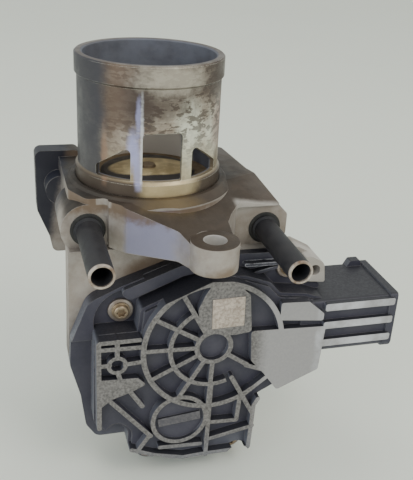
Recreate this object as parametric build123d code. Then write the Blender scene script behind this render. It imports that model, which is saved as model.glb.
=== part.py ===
from build123d import *
import math
import os

os.makedirs("parts", exist_ok=True)

# The frame: the origin is where the port tube's axis meets the deck that the tube stands on. +Z runs up
# the tube, +X points at the electrical connector, and -Y is the front, where the actuator cover is.
# All sizes are in millimetres.

# ---------------------------------------------------------------- clearances
FIT = 0.02               # radial gap of a part that is pressed or located in its seat
RUN = 0.05               # radial running clearance of a shaft in its bush
SEAL_GAP = 0.05          # gap between a seal's lip and its shaft
FACE_GAP = 0.1           # gap between faces that close on each other across a joint
SIDE_GAP = 0.3           # side gap of a moving piece between two cheeks
TOOTH_GAP = 0.12         # backlash of the gear teeth, along the pitch circle

# ---------------------------------------------------------------- port tube
TUBE_R = 30.0
TUBE_WALL = 2.5
TUBE_HEIGHT = 52.2
COLLAR_OVER = 0.9        # how far the collar at the mouth stands out
COLLAR_HEIGHT = 8.0
FOOT_OVER = 1.1          # how far the pilot ring at the foot stands out
FOOT_HEIGHT = 5.6
FOOT_SUNK = 0.4          # how far the foot drops into its recess in the deck
SPIGOT_DEPTH = 5.0       # length of tube that is pressed into the deck
WINDOW_PITCH = 40.0      # degrees from the tall window to the slanted one on each side of it
WINDOW_WIDTH = 16.0
WINDOW_SILL = 6.2
WINDOW_TOP = 26.0
SLANT_NEAR = 20.5         # top of a slanted window, on the side of the tall one
SLANT_FAR = 10.5
WINDOW_ROUND = 1.8

# ---------------------------------------------------------------- valve and its guide
SEAT_BORE_R = 18.0
SEAT_RING_HEIGHT = 4.5
DISC_R = 20.5
DISC_THICK = 3.0
DISC_CROWN = 1.2
BEVEL = 1.5              # width of the conical seat
STEM_R = 3.0
STEM_NECK_R = 2.2
STEM_HEAD_R = 3.6
CHAMBER_FLOOR = -24.0    # floor of the gas chamber
SEAL_R = 7.0
SEAL_THICK = 3.0
BUSH_R = 4.6
BUSH_LENGTH = 11.0
GUIDE_BOSS_R = 6.2
SPRING_TOP = -34.0
SPRING_COIL_R = 7.5
SPRING_WIRE_R = 0.7
SPRING_TURNS = 4.5
RETAINER_R = 9.2
RETAINER_THICK = 1.5
SPRING_BORE_R = 10.3

# ---------------------------------------------------------------- gas inlet at the back
PORT_R = 10.5
PORT_Z = -14.0
PORT_REACH = 6.0         # how far the drill for the port runs into the gas chamber
FLANGE_BACK = 36.0
FLANGE_THICK = 9.0
FLANGE_LEFT = -46.8
FLANGE_RIGHT = 43.0
FLANGE_TOP = 2.0
FLANGE_BOTTOM = -48.7
FLANGE_BOLT_X = 36.0
FLANGE_BOLT_R = 3.4      # tapping size of an M8 thread
FLANGE_BOLT_DEPTH = 14.0
FLANGE_BOSS_R = 7.0

# ---------------------------------------------------------------- deck, ear and coolant bosses
DECK_TOP = -1.0
DECK_THICK = 7.5
SLOPE_AT_AXIS = 7.48     # the front of the deck is one tilted plane: its height on the tube's axis,
SLOPE_X = -0.148         # its rise per millimetre along X
SLOPE_Y = 0.32           # and its rise per millimetre along Y
SEAT_SKIRT = 3.0         # height and reach of the cone that blends the raised face into the deck
DECK_SEAT_R = 33.5       # raised round face that the tube stands on
DECK_LEFT = -36.0
DECK_FRONT = -26.0
DECK_RIGHT_BACK = 43.0
DECK_RIGHT_FRONT = 48.0
EAR_X = 16.3
EAR_Y = -53.4
EAR_TOP = -9.6
EAR_R = 9.7
EAR_HOLE_R = 4.5
EAR_THICK = 11.5
SPOTFACE_R = 8.4
CORE_FRONT = -24.0
CORE_BACK = 30.0
CORE_LEFT = -36.0
CORE_RIGHT = 38.0
CORE_BOTTOM = -45.0

PIPE_R = 5.0
PIPE_WALL = 1.0
PIPE_LEFT = (-29.4, -14.4)    # x and z of the axis
PIPE_RIGHT = (47.4, -19.2)
PIPE_TIP = -67.5
PIPE_SOCKET = 10.0            # length held in the boss
PIPE_BEAD_R = 6.0
PIPE_SEAL_R = 7.2
PIPE_SEAL_THICK = 3.0
BOSS_FRONT = -26.0
BOSS_LEFT_R = 11.0

# ---------------------------------------------------------------- actuator: axes in x and z
SHAFT_AXIS = (20.4, -62.4)
MOTOR_AXIS = (6.7, -98.6)
TURN = 25.0                   # degrees from closed to open

GASKET_PLANE = -30.0
FLOOR = -22.0                 # floor of the gear chamber
FLOOR_THICK = 3.0
LINK_AXIS = (9.0, -60.0)
LINK_R = 20.0
LINK_WALL = 3.2
LINK_FRONT = -11.0
LINK_BACK = 16.0
CAP_THICK = 2.0
CAP_LIP = 1.2

SHAFT_R = 4.0
SHAFT_FRONT = -39.5
SHAFT_BACK = 6.6
SHAFT_FLAT = 3.2              # half width over the driving flats
SHAFT_BUSH_R = 5.5
SHAFT_SEAL_R = 8.0
SHAFT_SEAL_THICK = 3.0
CLIP_R = 6.2
CLIP_THICK = 0.9
GROOVE_DEPTH = 0.6

ROLLER_R = 3.5
ROLLER_PIN_R = 1.5
LEVER_THICK = 5.0
LEVER_HUB_R = 7.2
FORK_R = 7.0
SLOT_GAP = 0.15
CHEEK = 2.5
YOKE_HALF = 5.0
YOKE_BELOW = 5.0              # from the roller's centre down to the yoke's foot
YOKE_BRIDGE = 9.0             # from the roller's centre up to the bridge
YOKE_TOP = 13.4

FAST_MODULE = 0.8
FAST_PINION = 10
FAST_WHEEL = 44
SLOW_MODULE = 1.0
SLOW_PINION = 11
SLOW_WHEEL = 50
SECTOR_TEETH = 9
SHIFT = 0.45                  # profile shift, plus on a pinion and minus on its wheel
PRESSURE = 20.0               # degrees
SLOW_BACK = -31.2             # rear face of the sector
SLOW_FRONT = -37.6
FAST_BACK = -24.2             # rear face of the big intermediate wheel
FAST_FRONT = -29.4
IDLER_FRONT = -38.2
IDLER_PIN_R = 2.0
IDLER_PIN_FRONT = -41.0
IDLER_PIN_BACK = -13.0
HUB_R = 8.5
MAGNET_R = 5.0
MAGNET_THICK = 1.4

# ---------------------------------------------------------------- motor
MOTOR_R = 16.0
MOTOR_WALL = 1.2
MOTOR_BACK = 26.0
MOTOR_BOSS_R = 4.5
MOTOR_BOSS = 2.6
BARREL_R = 19.0
MOTOR_FLANGE_R = 17.4
MOTOR_FLANGE = 2.6
MOTOR_LUG = 19.5              # from the motor's axis to each fixing screw
MOTOR_LUG_R = 4.2
MOTOR_SCREW = 10.0
MOTOR_SHAFT_R = 1.5
MOTOR_BUSH_R = 3.2
ROTOR_R = 11.6
ROTOR_SLOTS = 5
ROTOR_BACK = 16.0
ROTOR_FRONT = -10.0
MAGNET_INNER_R = 12.2
MAGNET_SPAN = 130.0
COMMUTATOR_R = 4.2
BRUSH_HALF = 1.5

# ---------------------------------------------------------------- cover
RIM_FRONT = -34.0
SKIN_FRONT = -44.5
RIB_FRONT = -48.0
SKIN = 2.5
RING_R = 31.5
RING_WIDTH = 2.3
INNER_RING_R = 19.9
HUB_RING_R = 8.5
DIMPLE_R = 6.4
DIMPLE_DEPTH = 2.2
RIB_WIDTH = 2.0
EYE_R = 12.9                  # raised ring over the motor
EYE_DEPTH = 1.6
GROOVE_WIDTH = 1.8
GASKET_THICK = 1.4
GASKET_STANDOFF = 1.6         # from the chamber's edge to the groove
SCREW_R = 2.0
SCREW_HEAD_R = 3.9
SCREW_HEAD = 2.4
SCREW_LENGTH = 16.0
SLEEVE_R = 5.4
SLEEVE_BORE_R = 2.3
LUG_R = 6.4
PLATE_TOP_RIGHT = -26.8       # top of the housing's flange, under the right coolant pipe
SCREW_SPOTS = ((-17.4, -48.0), (56.0, -33.5), (-4.0, -122.8), (35.0, -123.6))
STUD_AT = (68.3, -35.9)       # hole of the cast lug beside the connector, in x and z
STUD_HOLE_R = 2.5
STUD_DEPTH = 12.0
STUD_FRONT = -36.0
DOME_STEP = 1.5               # width and height of the ledge round the cover's front
BROW_FRONT = -39.5            # front of the bar along the cover's upper edge
POCKET_FRONT = -37.0          # front of the raised edge round the upper left screw
POCKET_R = 15.0

# ---------------------------------------------------------------- connector
PLUG_ROOT = 70.0
PLUG_MOUTH = 105.5
PLUG_FRONT = -48.0
PLUG_BACK = -13.0
PLUG_TOP = -46.0
PLUG_BOTTOM = -73.0
PLUG_WALL = 2.4
PLUG_DEPTH = 27.0
PLUG_LIP = 0.9                # how far the lip round the mouth stands out, and its length is four times that
RAIL_COUNT = 3
RAIL_STAND = 2.2
BLADE_COUNT = 5
BLADE_PITCH = 5.0
BLADE_TIP = 94.0
BLADE_HALF_WIDTH = 1.1
BLADE_HALF_THICK = 0.4


# ---------------------------------------------------------------- helpers
def post_y(at, radius, y_front, y_back):
    """A round bar along Y from y_front to y_back, at an (x, z) axis."""
    spot = Plane.XZ.offset(-y_back) * Location((at[0], at[1], 0))
    return extrude(spot * Circle(radius), amount=y_back - y_front)


def post_z(at, radius, z_low, z_high):
    """A round bar along Z from z_low to z_high, at an (x, y) axis."""
    return Pos(at[0], at[1], z_low) * extrude(Circle(radius), amount=z_high - z_low)


def slab_y(outline, y_front, y_back):
    """An outline drawn in x and z, thickened from y_front to y_back."""
    return extrude(Plane.XZ.offset(-y_back) * outline, amount=y_back - y_front)


def shape(points, rounding):
    """A closed outline whose corners are rounded by one radius or by one each."""
    return make_face(FilletPolyline(*points, radius=rounding, close=True))


def strip(start, end, width):
    """A straight band between two points of an outline, with round ends."""
    middle = ((start[0] + end[0]) / 2, (start[1] + end[1]) / 2)
    length = math.dist(start, end)
    angle = math.degrees(math.atan2(end[1] - start[1], end[0] - start[0]))
    return Pos(*middle) * Rot(0, 0, angle) * SlotCenterToCenter(length, width)


def ring(at, outer, width):
    """A flat ring in an outline."""
    return Pos(*at) * (Circle(outer) - Circle(outer - width))


def polar(at, radius, degrees):
    """The point at a radius and an angle from an axis."""
    turn = math.radians(degrees)
    return (at[0] + radius * math.cos(turn), at[1] + radius * math.sin(turn))


def bearing(start, end):
    """The angle in degrees of the line from one axis to another."""
    return math.degrees(math.atan2(end[1] - start[1], end[0] - start[0]))


def lathe(points):
    """A solid of revolution about Z from (radius, z) points."""
    return revolve(Plane.XZ * make_face(Polyline(*points, close=True)), axis=Axis.Z)


def lathe_y(at, points):
    """A solid of revolution about an axis along Y from (radius, y) points."""
    turned = Rot(-90, 0, 0) * lathe([(radius, y) for radius, y in points])
    return Pos(at[0], 0, at[1]) * turned


def idler_axis():
    """The axis that meshes with the sector on one side and the motor pinion on the other."""
    slow = SLOW_MODULE * (SLOW_PINION + SLOW_WHEEL) / 2
    fast = FAST_MODULE * (FAST_PINION + FAST_WHEEL) / 2
    span = math.dist(SHAFT_AXIS, MOTOR_AXIS)
    corner = math.degrees(math.acos((slow**2 + span**2 - fast**2) / (2 * slow * span)))
    return polar(SHAFT_AXIS, slow, bearing(SHAFT_AXIS, MOTOR_AXIS) - corner)


IDLER_AXIS = idler_axis()


def involute(angle):
    """The involute of an angle in radians."""
    return math.tan(angle) - angle


def gear_outline(teeth, module, shift, tooth_at, count=None):
    """Involute teeth round the origin: all of them, or a run of count teeth centred on tooth_at."""
    pressure = math.radians(PRESSURE)
    pitch_r = module * teeth / 2
    base_r = pitch_r * math.cos(pressure)
    tip_r = pitch_r + module * (0.95 + shift)
    root_r = pitch_r - module * (1.25 - shift)
    thick = math.pi / 2 + 2 * shift * math.tan(pressure) - TOOTH_GAP / (2 * module)
    half = thick / teeth + involute(pressure)
    low_r = max(base_r, root_r)
    steps = 4
    flank = []
    for step in range(steps):
        radius = low_r + (tip_r - low_r) * step / (steps - 1)
        roll = math.acos(min(1.0, base_r / radius))
        flank.append((radius, half - involute(roll)))
    if root_r < base_r:
        flank.insert(0, (root_r, flank[0][1]))
    run = teeth if count is None else count
    first = -(run - 1) / 2 if count else 0
    points = []
    for tooth in range(run):
        middle = math.radians(tooth_at) + (first + tooth) * 2 * math.pi / teeth
        side = [(radius, middle - angle) for radius, angle in flank]
        side += [(radius, middle + angle) for radius, angle in reversed(flank)]
        points += [(radius * math.cos(a), radius * math.sin(a)) for radius, a in side]
    if count:
        points.append((0, 0))
    return make_face(Polyline(*points, close=True))


def blind(at, radius, y_mouth, depth):
    """A cutter for a hole that is drilled along +Y from y_mouth."""
    return post_y(at, radius, y_mouth - FIT, y_mouth + depth)


# ---------------------------------------------------------------- gas side
def build_port_tube():
    inner = TUBE_R - TUBE_WALL
    collar = TUBE_R + COLLAR_OVER
    foot = TUBE_R + FOOT_OVER
    ease = 0.6
    low = TUBE_HEIGHT - COLLAR_HEIGHT
    body = lathe([
        (inner, -SPIGOT_DEPTH), (TUBE_R, -SPIGOT_DEPTH), (TUBE_R, -FOOT_SUNK),
        (foot - FOOT_SUNK, -FOOT_SUNK), (foot, 0), (foot, FOOT_HEIGHT - ease),
        (TUBE_R, FOOT_HEIGHT + ease), (TUBE_R, low - COLLAR_OVER),
        (collar, low), (collar, TUBE_HEIGHT - ease), (collar - ease, TUBE_HEIGHT),
        (inner + ease, TUBE_HEIGHT), (inner, TUBE_HEIGHT - ease),
    ])
    half = WINDOW_WIDTH / 2
    tall = shape(
        [(-half, WINDOW_SILL), (half, WINDOW_SILL), (half, WINDOW_TOP), (-half, WINDOW_TOP)],
        [0.6, 0.6, WINDOW_ROUND, WINDOW_ROUND])
    slanted = shape(
        [(-half, WINDOW_SILL), (half, WINDOW_SILL), (half, SLANT_NEAR), (-half, SLANT_FAR)],
        [0.6, 0.6, WINDOW_ROUND, WINDOW_ROUND])
    reach = TUBE_R + 2 * FOOT_OVER
    tall_cut = slab_y(tall, -reach, -inner + TUBE_WALL)
    left_cut = slab_y(slanted, -reach, -inner + TUBE_WALL)
    right_cut = mirror(left_cut, about=Plane.YZ)
    return body - tall_cut - Rot(0, 0, -WINDOW_PITCH) * left_cut - Rot(0, 0, WINDOW_PITCH) * right_cut


def build_seat_ring():
    outer = TUBE_R - TUBE_WALL - FIT
    top = -SPIGOT_DEPTH + SEAT_RING_HEIGHT
    return lathe([
        (SEAT_BORE_R, -SPIGOT_DEPTH), (outer, -SPIGOT_DEPTH), (outer, top), (SEAT_BORE_R + BEVEL + 1, top),
        (SEAT_BORE_R + BEVEL + 1, top - 0.6), (SEAT_BORE_R + BEVEL, top - 0.6), (SEAT_BORE_R, top - 0.6 - BEVEL),
    ])


def seat_top():
    """Height of the upper edge of the conical seat."""
    return -SPIGOT_DEPTH + SEAT_RING_HEIGHT - 0.6


def build_valve_disc():
    low = seat_top() + FACE_GAP
    edge = SEAT_BORE_R + BEVEL
    return lathe([
        (STEM_NECK_R, low - BEVEL), (SEAT_BORE_R, low - BEVEL), (edge, low), (DISC_R, low),
        (DISC_R, low + DISC_THICK - 1.0), (DISC_R - 1.5, low + DISC_THICK - 0.5),
        (8.0, low + DISC_THICK - 0.5 + DISC_CROWN), (STEM_NECK_R, low + DISC_THICK - 0.5 + DISC_CROWN),
    ])


ROLLER_REST = SHAFT_AXIS[1] - SHAFT_AXIS[0] * math.tan(math.radians(TURN / 2))
YOKE_REST = ROLLER_REST + YOKE_TOP


def build_valve_stem():
    low = seat_top() + FACE_GAP
    under = low - BEVEL
    top = low + DISC_THICK - 0.5 + DISC_CROWN
    foot = ROLLER_REST + YOKE_BRIDGE + 0.5
    neck = STEM_NECK_R - FIT
    return lathe([
        (0, foot), (STEM_R, foot), (STEM_R, under), (neck, under), (neck, top), (STEM_HEAD_R, top),
        (STEM_HEAD_R - 0.6, top + 1.0), (0, top + 1.3),
    ])


def build_stem_seal():
    low = CHAMBER_FLOOR - SEAL_THICK
    lip = STEM_R + SEAL_GAP
    return lathe([
        (lip, low), (SEAL_R - FIT, low), (SEAL_R - FIT, CHAMBER_FLOOR - 0.2), (SEAL_R - 1.4, CHAMBER_FLOOR - 0.2),
        (SEAL_R - 2.0, low + 1.2), (lip + 1.0, low + 1.2), (lip, CHAMBER_FLOOR - 0.6),
    ])


def build_stem_bush():
    top = CHAMBER_FLOOR - SEAL_THICK
    return lathe([
        (STEM_R + RUN, top - BUSH_LENGTH), (BUSH_R - FIT, top - BUSH_LENGTH),
        (BUSH_R - FIT, top), (STEM_R + RUN, top),
    ])


def build_return_spring():
    low = YOKE_REST + RETAINER_THICK + FACE_GAP
    free = SPRING_TOP - low - FACE_GAP
    rise = free - 2 * SPRING_WIRE_R
    path = Helix(pitch=rise / SPRING_TURNS, height=rise, radius=SPRING_COIL_R)
    start = Plane(origin=path @ 0, z_dir=path % 0)
    wire = sweep(start * RegularPolygon(SPRING_WIRE_R, 8), path=path, is_frenet=True)
    return Pos(0, 0, low + SPRING_WIRE_R) * wire


def build_spring_retainer():
    low = YOKE_REST
    rim = SPRING_COIL_R - SPRING_WIRE_R - 0.5
    return lathe([
        (STEM_R + FIT, low), (RETAINER_R, low), (RETAINER_R, low + RETAINER_THICK),
        (rim, low + RETAINER_THICK), (rim - 0.6, low + RETAINER_THICK + 1.4),
        (STEM_R + FIT, low + RETAINER_THICK + 1.4),
    ])


def build_stem_yoke():
    foot = ROLLER_REST - YOKE_BELOW
    width = LEVER_THICK / 2 + SIDE_GAP * 2 + CHEEK
    outline = shape(
        [(-YOKE_HALF, foot), (YOKE_HALF, foot), (YOKE_HALF, YOKE_REST), (-YOKE_HALF, YOKE_REST)],
        [4.2, 4.2, 1.5, 1.5])
    body = slab_y(outline, -width, width)
    gap = LEVER_THICK / 2 + SIDE_GAP * 2
    slot = shape(
        [(-gap, foot - 1), (gap, foot - 1), (gap, ROLLER_REST + YOKE_BRIDGE), (-gap, ROLLER_REST + YOKE_BRIDGE)],
        [0, 0, 1.2, 1.2])
    body -= extrude(Plane.YZ * slot, amount=YOKE_HALF + 1, both=True)
    body -= post_y((0, ROLLER_REST), ROLLER_PIN_R + FIT, -width - 1, width + 1)
    return body - post_z((0, 0), STEM_R + FIT, ROLLER_REST + YOKE_BRIDGE - 1, YOKE_REST + 1)


def build_roller_pin():
    reach = LEVER_THICK / 2 + SIDE_GAP * 2 + CHEEK
    head = ROLLER_PIN_R + 0.6
    return lathe_y((0, ROLLER_REST), [
        (0, -reach - 0.8), (head, -reach - 0.8), (head, -reach), (ROLLER_PIN_R, -reach), (ROLLER_PIN_R, reach),
        (head, reach), (head, reach + 0.8), (0, reach + 0.8),
    ])


def build_roller():
    half = LEVER_THICK / 2 + SIDE_GAP
    bore = ROLLER_PIN_R + RUN
    ease = 0.4
    return lathe_y((0, ROLLER_REST), [
        (bore, -half), (ROLLER_R - ease, -half), (ROLLER_R, -half + ease),
        (ROLLER_R, half - ease), (ROLLER_R - ease, half), (bore, half),
    ])


# ---------------------------------------------------------------- linkage and gears
def flatted(radius, gap):
    """The round section of the output shaft with its two driving flats."""
    across = 2 * (SHAFT_FLAT + gap)
    return Circle(radius + gap) & Rectangle(4 * radius, across)


def build_fork_lever():
    reach = math.hypot(SHAFT_AXIS[0], SHAFT_AXIS[0] * math.tan(math.radians(TURN / 2)))
    jaw = Pos(reach, 0) * Circle(FORK_R)
    body = make_hull((Circle(LEVER_HUB_R) + jaw).edges())
    body = body & Circle(reach + ROLLER_R + 1.0)
    slot_r = ROLLER_R + SLOT_GAP
    body -= Pos(reach - 0.9, 0) * Circle(slot_r) + Pos(reach - 0.9 + 10, 0) * Rectangle(20, 2 * slot_r)
    body -= flatted(SHAFT_R, FIT)
    spot = Pos(SHAFT_AXIS[0], SHAFT_AXIS[1]) * Rot(0, 0, 180 + TURN / 2)
    lever = slab_y(spot * body, -LEVER_THICK / 2, LEVER_THICK / 2)
    hub = (Circle(LEVER_HUB_R - 0.8) - flatted(SHAFT_R, FIT))
    return lever + slab_y(spot * hub, -LEVER_THICK, LEVER_THICK)


def build_output_shaft():
    spot = Pos(SHAFT_AXIS[0], SHAFT_AXIS[1])
    body = post_y(SHAFT_AXIS, SHAFT_R, GASKET_PLANE, -LEVER_THICK - SIDE_GAP)
    body += slab_y(spot * Rot(0, 0, 180 + TURN / 2) * flatted(SHAFT_R, 0), -LEVER_THICK - SIDE_GAP, SHAFT_BACK)
    body += slab_y(spot * flatted(SHAFT_R, 0), SHAFT_FRONT, GASKET_PLANE)
    groove = Circle(SHAFT_R + 1) - Circle(SHAFT_R - GROOVE_DEPTH)
    return body - slab_y(spot * groove, LEVER_THICK + FIT, LEVER_THICK + CLIP_THICK + 2 * FIT)


def build_shaft_circlip():
    clip = Circle(CLIP_R) - Circle(SHAFT_R - GROOVE_DEPTH + FIT) - Pos(0, -CLIP_R) * Rectangle(4.0, 2 * CLIP_R)
    spot = Pos(SHAFT_AXIS[0], SHAFT_AXIS[1])
    return slab_y(spot * clip, LEVER_THICK + 1.5 * FIT, LEVER_THICK + CLIP_THICK + 1.5 * FIT)


def build_output_gear():
    to_idler = bearing(SHAFT_AXIS, IDLER_AXIS)
    pitch = 360 / SLOW_WHEEL
    middle = to_idler + round(TURN / 2 / pitch) * pitch
    teeth = gear_outline(SLOW_WHEEL, SLOW_MODULE, -SHIFT, middle, SECTOR_TEETH)
    rim_r = SLOW_MODULE * (SLOW_WHEEL / 2 - 1.25 - SHIFT)
    half = SECTOR_TEETH * pitch / 2
    arms = Rot(0, 0, middle) * (
        strip((0, 0), polar((0, 0), rim_r - 2, half - 7), 5.0) + strip((0, 0), polar((0, 0), rim_r - 2, 7 - half), 5.0))
    face = (teeth - Circle(rim_r - 4.5)) + (arms & Circle(rim_r - 1)) + Circle(HUB_R)
    face -= flatted(SHAFT_R, FIT)
    spot = Pos(SHAFT_AXIS[0], SHAFT_AXIS[1])
    body = slab_y(spot * face, SLOW_FRONT, SLOW_BACK)
    hub = Circle(HUB_R - 1) - flatted(SHAFT_R, FIT)
    front = SHAFT_FRONT - MAGNET_THICK / 2
    body += slab_y(spot * hub, front, GASKET_PLANE - FIT)
    return body - post_y(SHAFT_AXIS, MAGNET_R + FIT, front - 1, SHAFT_FRONT)


def build_sensor_magnet():
    return post_y(SHAFT_AXIS, MAGNET_R, SHAFT_FRONT - MAGNET_THICK, SHAFT_FRONT)


def build_intermediate_gear():
    slow_at = bearing(IDLER_AXIS, SHAFT_AXIS) + 180 / SLOW_PINION
    fast_at = bearing(IDLER_AXIS, MOTOR_AXIS)
    pinion = gear_outline(SLOW_PINION, SLOW_MODULE, SHIFT, slow_at)
    wheel = gear_outline(FAST_WHEEL, FAST_MODULE, -SHIFT, fast_at)
    bore = Circle(IDLER_PIN_R + RUN)
    spot = Pos(*IDLER_AXIS)
    body = slab_y(spot * (pinion - bore), IDLER_FRONT, FAST_FRONT)
    web = (FAST_FRONT + FAST_BACK) / 2
    rim = FAST_MODULE * (FAST_WHEEL / 2 - 1.25 - SHIFT) - 2.0
    body += slab_y(spot * (wheel - bore), FAST_FRONT, FAST_BACK)
    recess = Circle(rim) - Circle(IDLER_PIN_R + 3.0)
    return body - slab_y(spot * recess, web + 0.8, FAST_BACK + 1)


def build_intermediate_pin():
    return lathe_y(IDLER_AXIS, [
        (0, IDLER_PIN_FRONT), (IDLER_PIN_R - 0.4, IDLER_PIN_FRONT), (IDLER_PIN_R, IDLER_PIN_FRONT + 0.4),
        (IDLER_PIN_R, IDLER_PIN_BACK), (0, IDLER_PIN_BACK),
    ])


def build_motor_pinion():
    at = bearing(MOTOR_AXIS, IDLER_AXIS) + 180 / FAST_PINION
    teeth = gear_outline(FAST_PINION, FAST_MODULE, SHIFT, at)
    face = teeth - Circle(MOTOR_SHAFT_R + FIT)
    return slab_y(Pos(*MOTOR_AXIS) * face, FAST_FRONT - 0.4, FAST_BACK + 0.6)


def build_shaft_bush():
    front = FLOOR + SHAFT_SEAL_THICK + 0.1
    return slab_y(Pos(*SHAFT_AXIS) * (Circle(SHAFT_BUSH_R) - Circle(SHAFT_R + RUN)), front, LINK_FRONT - 0.2)


def build_shaft_seal():
    lip = SHAFT_R + SEAL_GAP
    back = FLOOR + SHAFT_SEAL_THICK
    return lathe_y(SHAFT_AXIS, [
        (lip, back - 1.0), (lip + 1.2, back - 1.2), (SHAFT_SEAL_R - 1.2, back - 1.2), (SHAFT_SEAL_R - 1.2, FLOOR + 0.1),
        (SHAFT_SEAL_R - FIT, FLOOR + 0.1), (SHAFT_SEAL_R - FIT, back), (lip, back),
    ])


# ---------------------------------------------------------------- motor
def motor_lugs():
    """The motor's two fixing screws, square to the line that runs to the idler."""
    square = bearing(MOTOR_AXIS, IDLER_AXIS) - 90
    return [polar(MOTOR_AXIS, MOTOR_LUG, square), polar(MOTOR_AXIS, MOTOR_LUG, square + 180)]


def flange_outline(grow):
    """The motor's mounting plate, grown by a clearance."""
    first, second = motor_lugs()
    return Pos(*MOTOR_AXIS) * Circle(MOTOR_FLANGE_R + grow) + strip(first, second, 2 * (MOTOR_LUG_R + grow))


CAN_FRONT = FLOOR + MOTOR_FLANGE


def build_motor_can():
    inner = MOTOR_R - MOTOR_WALL
    end = MOTOR_BACK + MOTOR_BOSS
    return lathe_y(MOTOR_AXIS, [
        (inner, CAN_FRONT), (MOTOR_R, CAN_FRONT), (MOTOR_R, MOTOR_BACK - 1), (MOTOR_R - 1, MOTOR_BACK),
        (MOTOR_BOSS_R, MOTOR_BACK), (MOTOR_BOSS_R, end), (0, end), (0, end - MOTOR_WALL),
        (MOTOR_BUSH_R + FIT, end - MOTOR_WALL), (MOTOR_BUSH_R + FIT, MOTOR_BACK - MOTOR_WALL),
        (inner, MOTOR_BACK - MOTOR_WALL),
    ])


def build_motor_end_cap():
    first, second = motor_lugs()
    plate = flange_outline(0) - Pos(*MOTOR_AXIS) * Circle(MOTOR_BUSH_R + FIT)
    for lug in (first, second):
        plate -= Pos(*lug) * Circle(SCREW_R - 0.3)
    body = slab_y(plate, FLOOR, CAN_FRONT)
    tower = Circle(COMMUTATOR_R + 5.0) - Circle(COMMUTATOR_R + 1.0) - Rectangle(40, 2 * (BRUSH_HALF + FIT))
    return body + slab_y(Pos(*MOTOR_AXIS) * tower, CAN_FRONT, CAN_FRONT + 5.0)


def build_motor_brushes():
    long = 5.0
    centre = COMMUTATOR_R + FACE_GAP + long / 2
    pair = Pos(centre, 0) * Rectangle(long, 2 * BRUSH_HALF) + Pos(-centre, 0) * Rectangle(long, 2 * BRUSH_HALF)
    return slab_y(Pos(*MOTOR_AXIS) * pair, CAN_FRONT + FIT, CAN_FRONT + 4.5)


def build_motor_bush(y_front, y_back):
    return slab_y(Pos(*MOTOR_AXIS) * (Circle(MOTOR_BUSH_R) - Circle(MOTOR_SHAFT_R + RUN)), y_front, y_back)


def build_motor_magnets():
    outer = MOTOR_R - MOTOR_WALL - FIT
    wedge = [(0, 0), polar((0, 0), 2 * outer, -MAGNET_SPAN / 2), (2.4 * outer, 0),
             polar((0, 0), 2 * outer, MAGNET_SPAN / 2)]
    arc = (Circle(outer) - Circle(MAGNET_INNER_R)) & make_face(Polyline(*wedge, close=True))
    both = arc + Rot(0, 0, 180) * arc
    return slab_y(Pos(*MOTOR_AXIS) * both, ROTOR_FRONT - 1, ROTOR_BACK + 1)


def build_rotor_core():
    face = Circle(ROTOR_R)
    for slot in range(ROTOR_SLOTS):
        turn = Rot(0, 0, slot * 360 / ROTOR_SLOTS)
        face -= turn * Pos(ROTOR_R * 0.62, 0) * Circle(ROTOR_R * 0.2)
        face -= turn * Pos(ROTOR_R, 0) * Rectangle(ROTOR_R * 0.6, 1.4)
    return slab_y(Pos(*MOTOR_AXIS) * (face - Circle(MOTOR_SHAFT_R + FIT)), ROTOR_FRONT, ROTOR_BACK)


def build_commutator():
    face = Circle(COMMUTATOR_R) - Circle(MOTOR_SHAFT_R + FIT)
    return slab_y(Pos(*MOTOR_AXIS) * face, CAN_FRONT + 0.4, ROTOR_FRONT - FIT)


def build_motor_shaft():
    return post_y(MOTOR_AXIS, MOTOR_SHAFT_R, FAST_FRONT - 0.2, MOTOR_BACK + MOTOR_BOSS - MOTOR_WALL - 0.4)


def build_motor_screws():
    screws = Part()
    for lug in motor_lugs():
        head = post_y(lug, SCREW_R + 1.0, FLOOR - 1.2, FLOOR)
        socket = slab_y(Pos(*lug) * RegularPolygon(1.4, 6), FLOOR - 1.3, FLOOR - 0.4)
        screws += head + post_y(lug, SCREW_R - 0.32, FLOOR, FLOOR + MOTOR_SCREW) - socket
    return screws


# ---------------------------------------------------------------- outlines of the actuator
def chamber_outline():
    """The gear chamber, shared by the housing and the inside of the cover."""
    reach = RING_R - RING_WIDTH - 1.0
    right = SHAFT_AXIS[0] + reach - 2
    low = MOTOR_AXIS[1] - MOTOR_FLANGE_R + 1.2
    points = [(-29.5, -60), (-29.5, -95), (-21.5, -106), (-8, low), (34, low), (37, -96), (right, -86),
              (right, -44), (30, -36), (12, -36), (-5, -43), (-9, -57.5)]
    return shape(points, [4, 8, 5, 4, 6, 5, 8, 8, 5, 8, 6, 4])


def rim_outline():
    """The edge of the cover where it meets the housing."""
    points = [(-38.2, -60), (-38.9, -73.4), (-34.6, -89.8), (-32.6, -106), (-28, -113), (-13, -113),
              (-6, -118.5), (6.7, -121.6), (41.5, -121.6), (43.5, -96), (54, -90), (66, -82), (72, -50),
              (72, -43.4), (62.4, -42), (62.4, -26.5), (14, -26), (6.7, -27), (-16.9, -35.4), (-31, -42)]
    face = shape(points, [3, 6, 6, 6, 4, 5, 6, 12, 3, 5, 4, 4, 4, 1, 1.5, 5, 2, 2, 6, 9])
    for spot in SCREW_SPOTS[2:]:
        face += Pos(*spot) * Circle(LUG_R)
    return face


def dome_outline():
    """The front outline of the cover, without its connector."""
    points = [(-29.5, -54), (-11.5, -54), (-10.5, -43.5), (18, -31), (34, -32), (45, -36), (50, -41.6), (62, -43),
              (71.5, -46.5), (72, -60), (70.3, -80.6), (50.5, -89.4), (43, -93.5), (41, -121), (6.8, -121.4),
              (-6, -117.6), (-15.5, -113), (-15, -104), (-21, -99.4), (-25.5, -104.5), (-30.2, -98)]
    return shape(points, [2.5, 1, 3, 4, 4, 3, 3, 3, 3, 3, 2, 2, 3, 2.5, 12, 5, 1.5, 6, 3, 2, 3])


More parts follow.
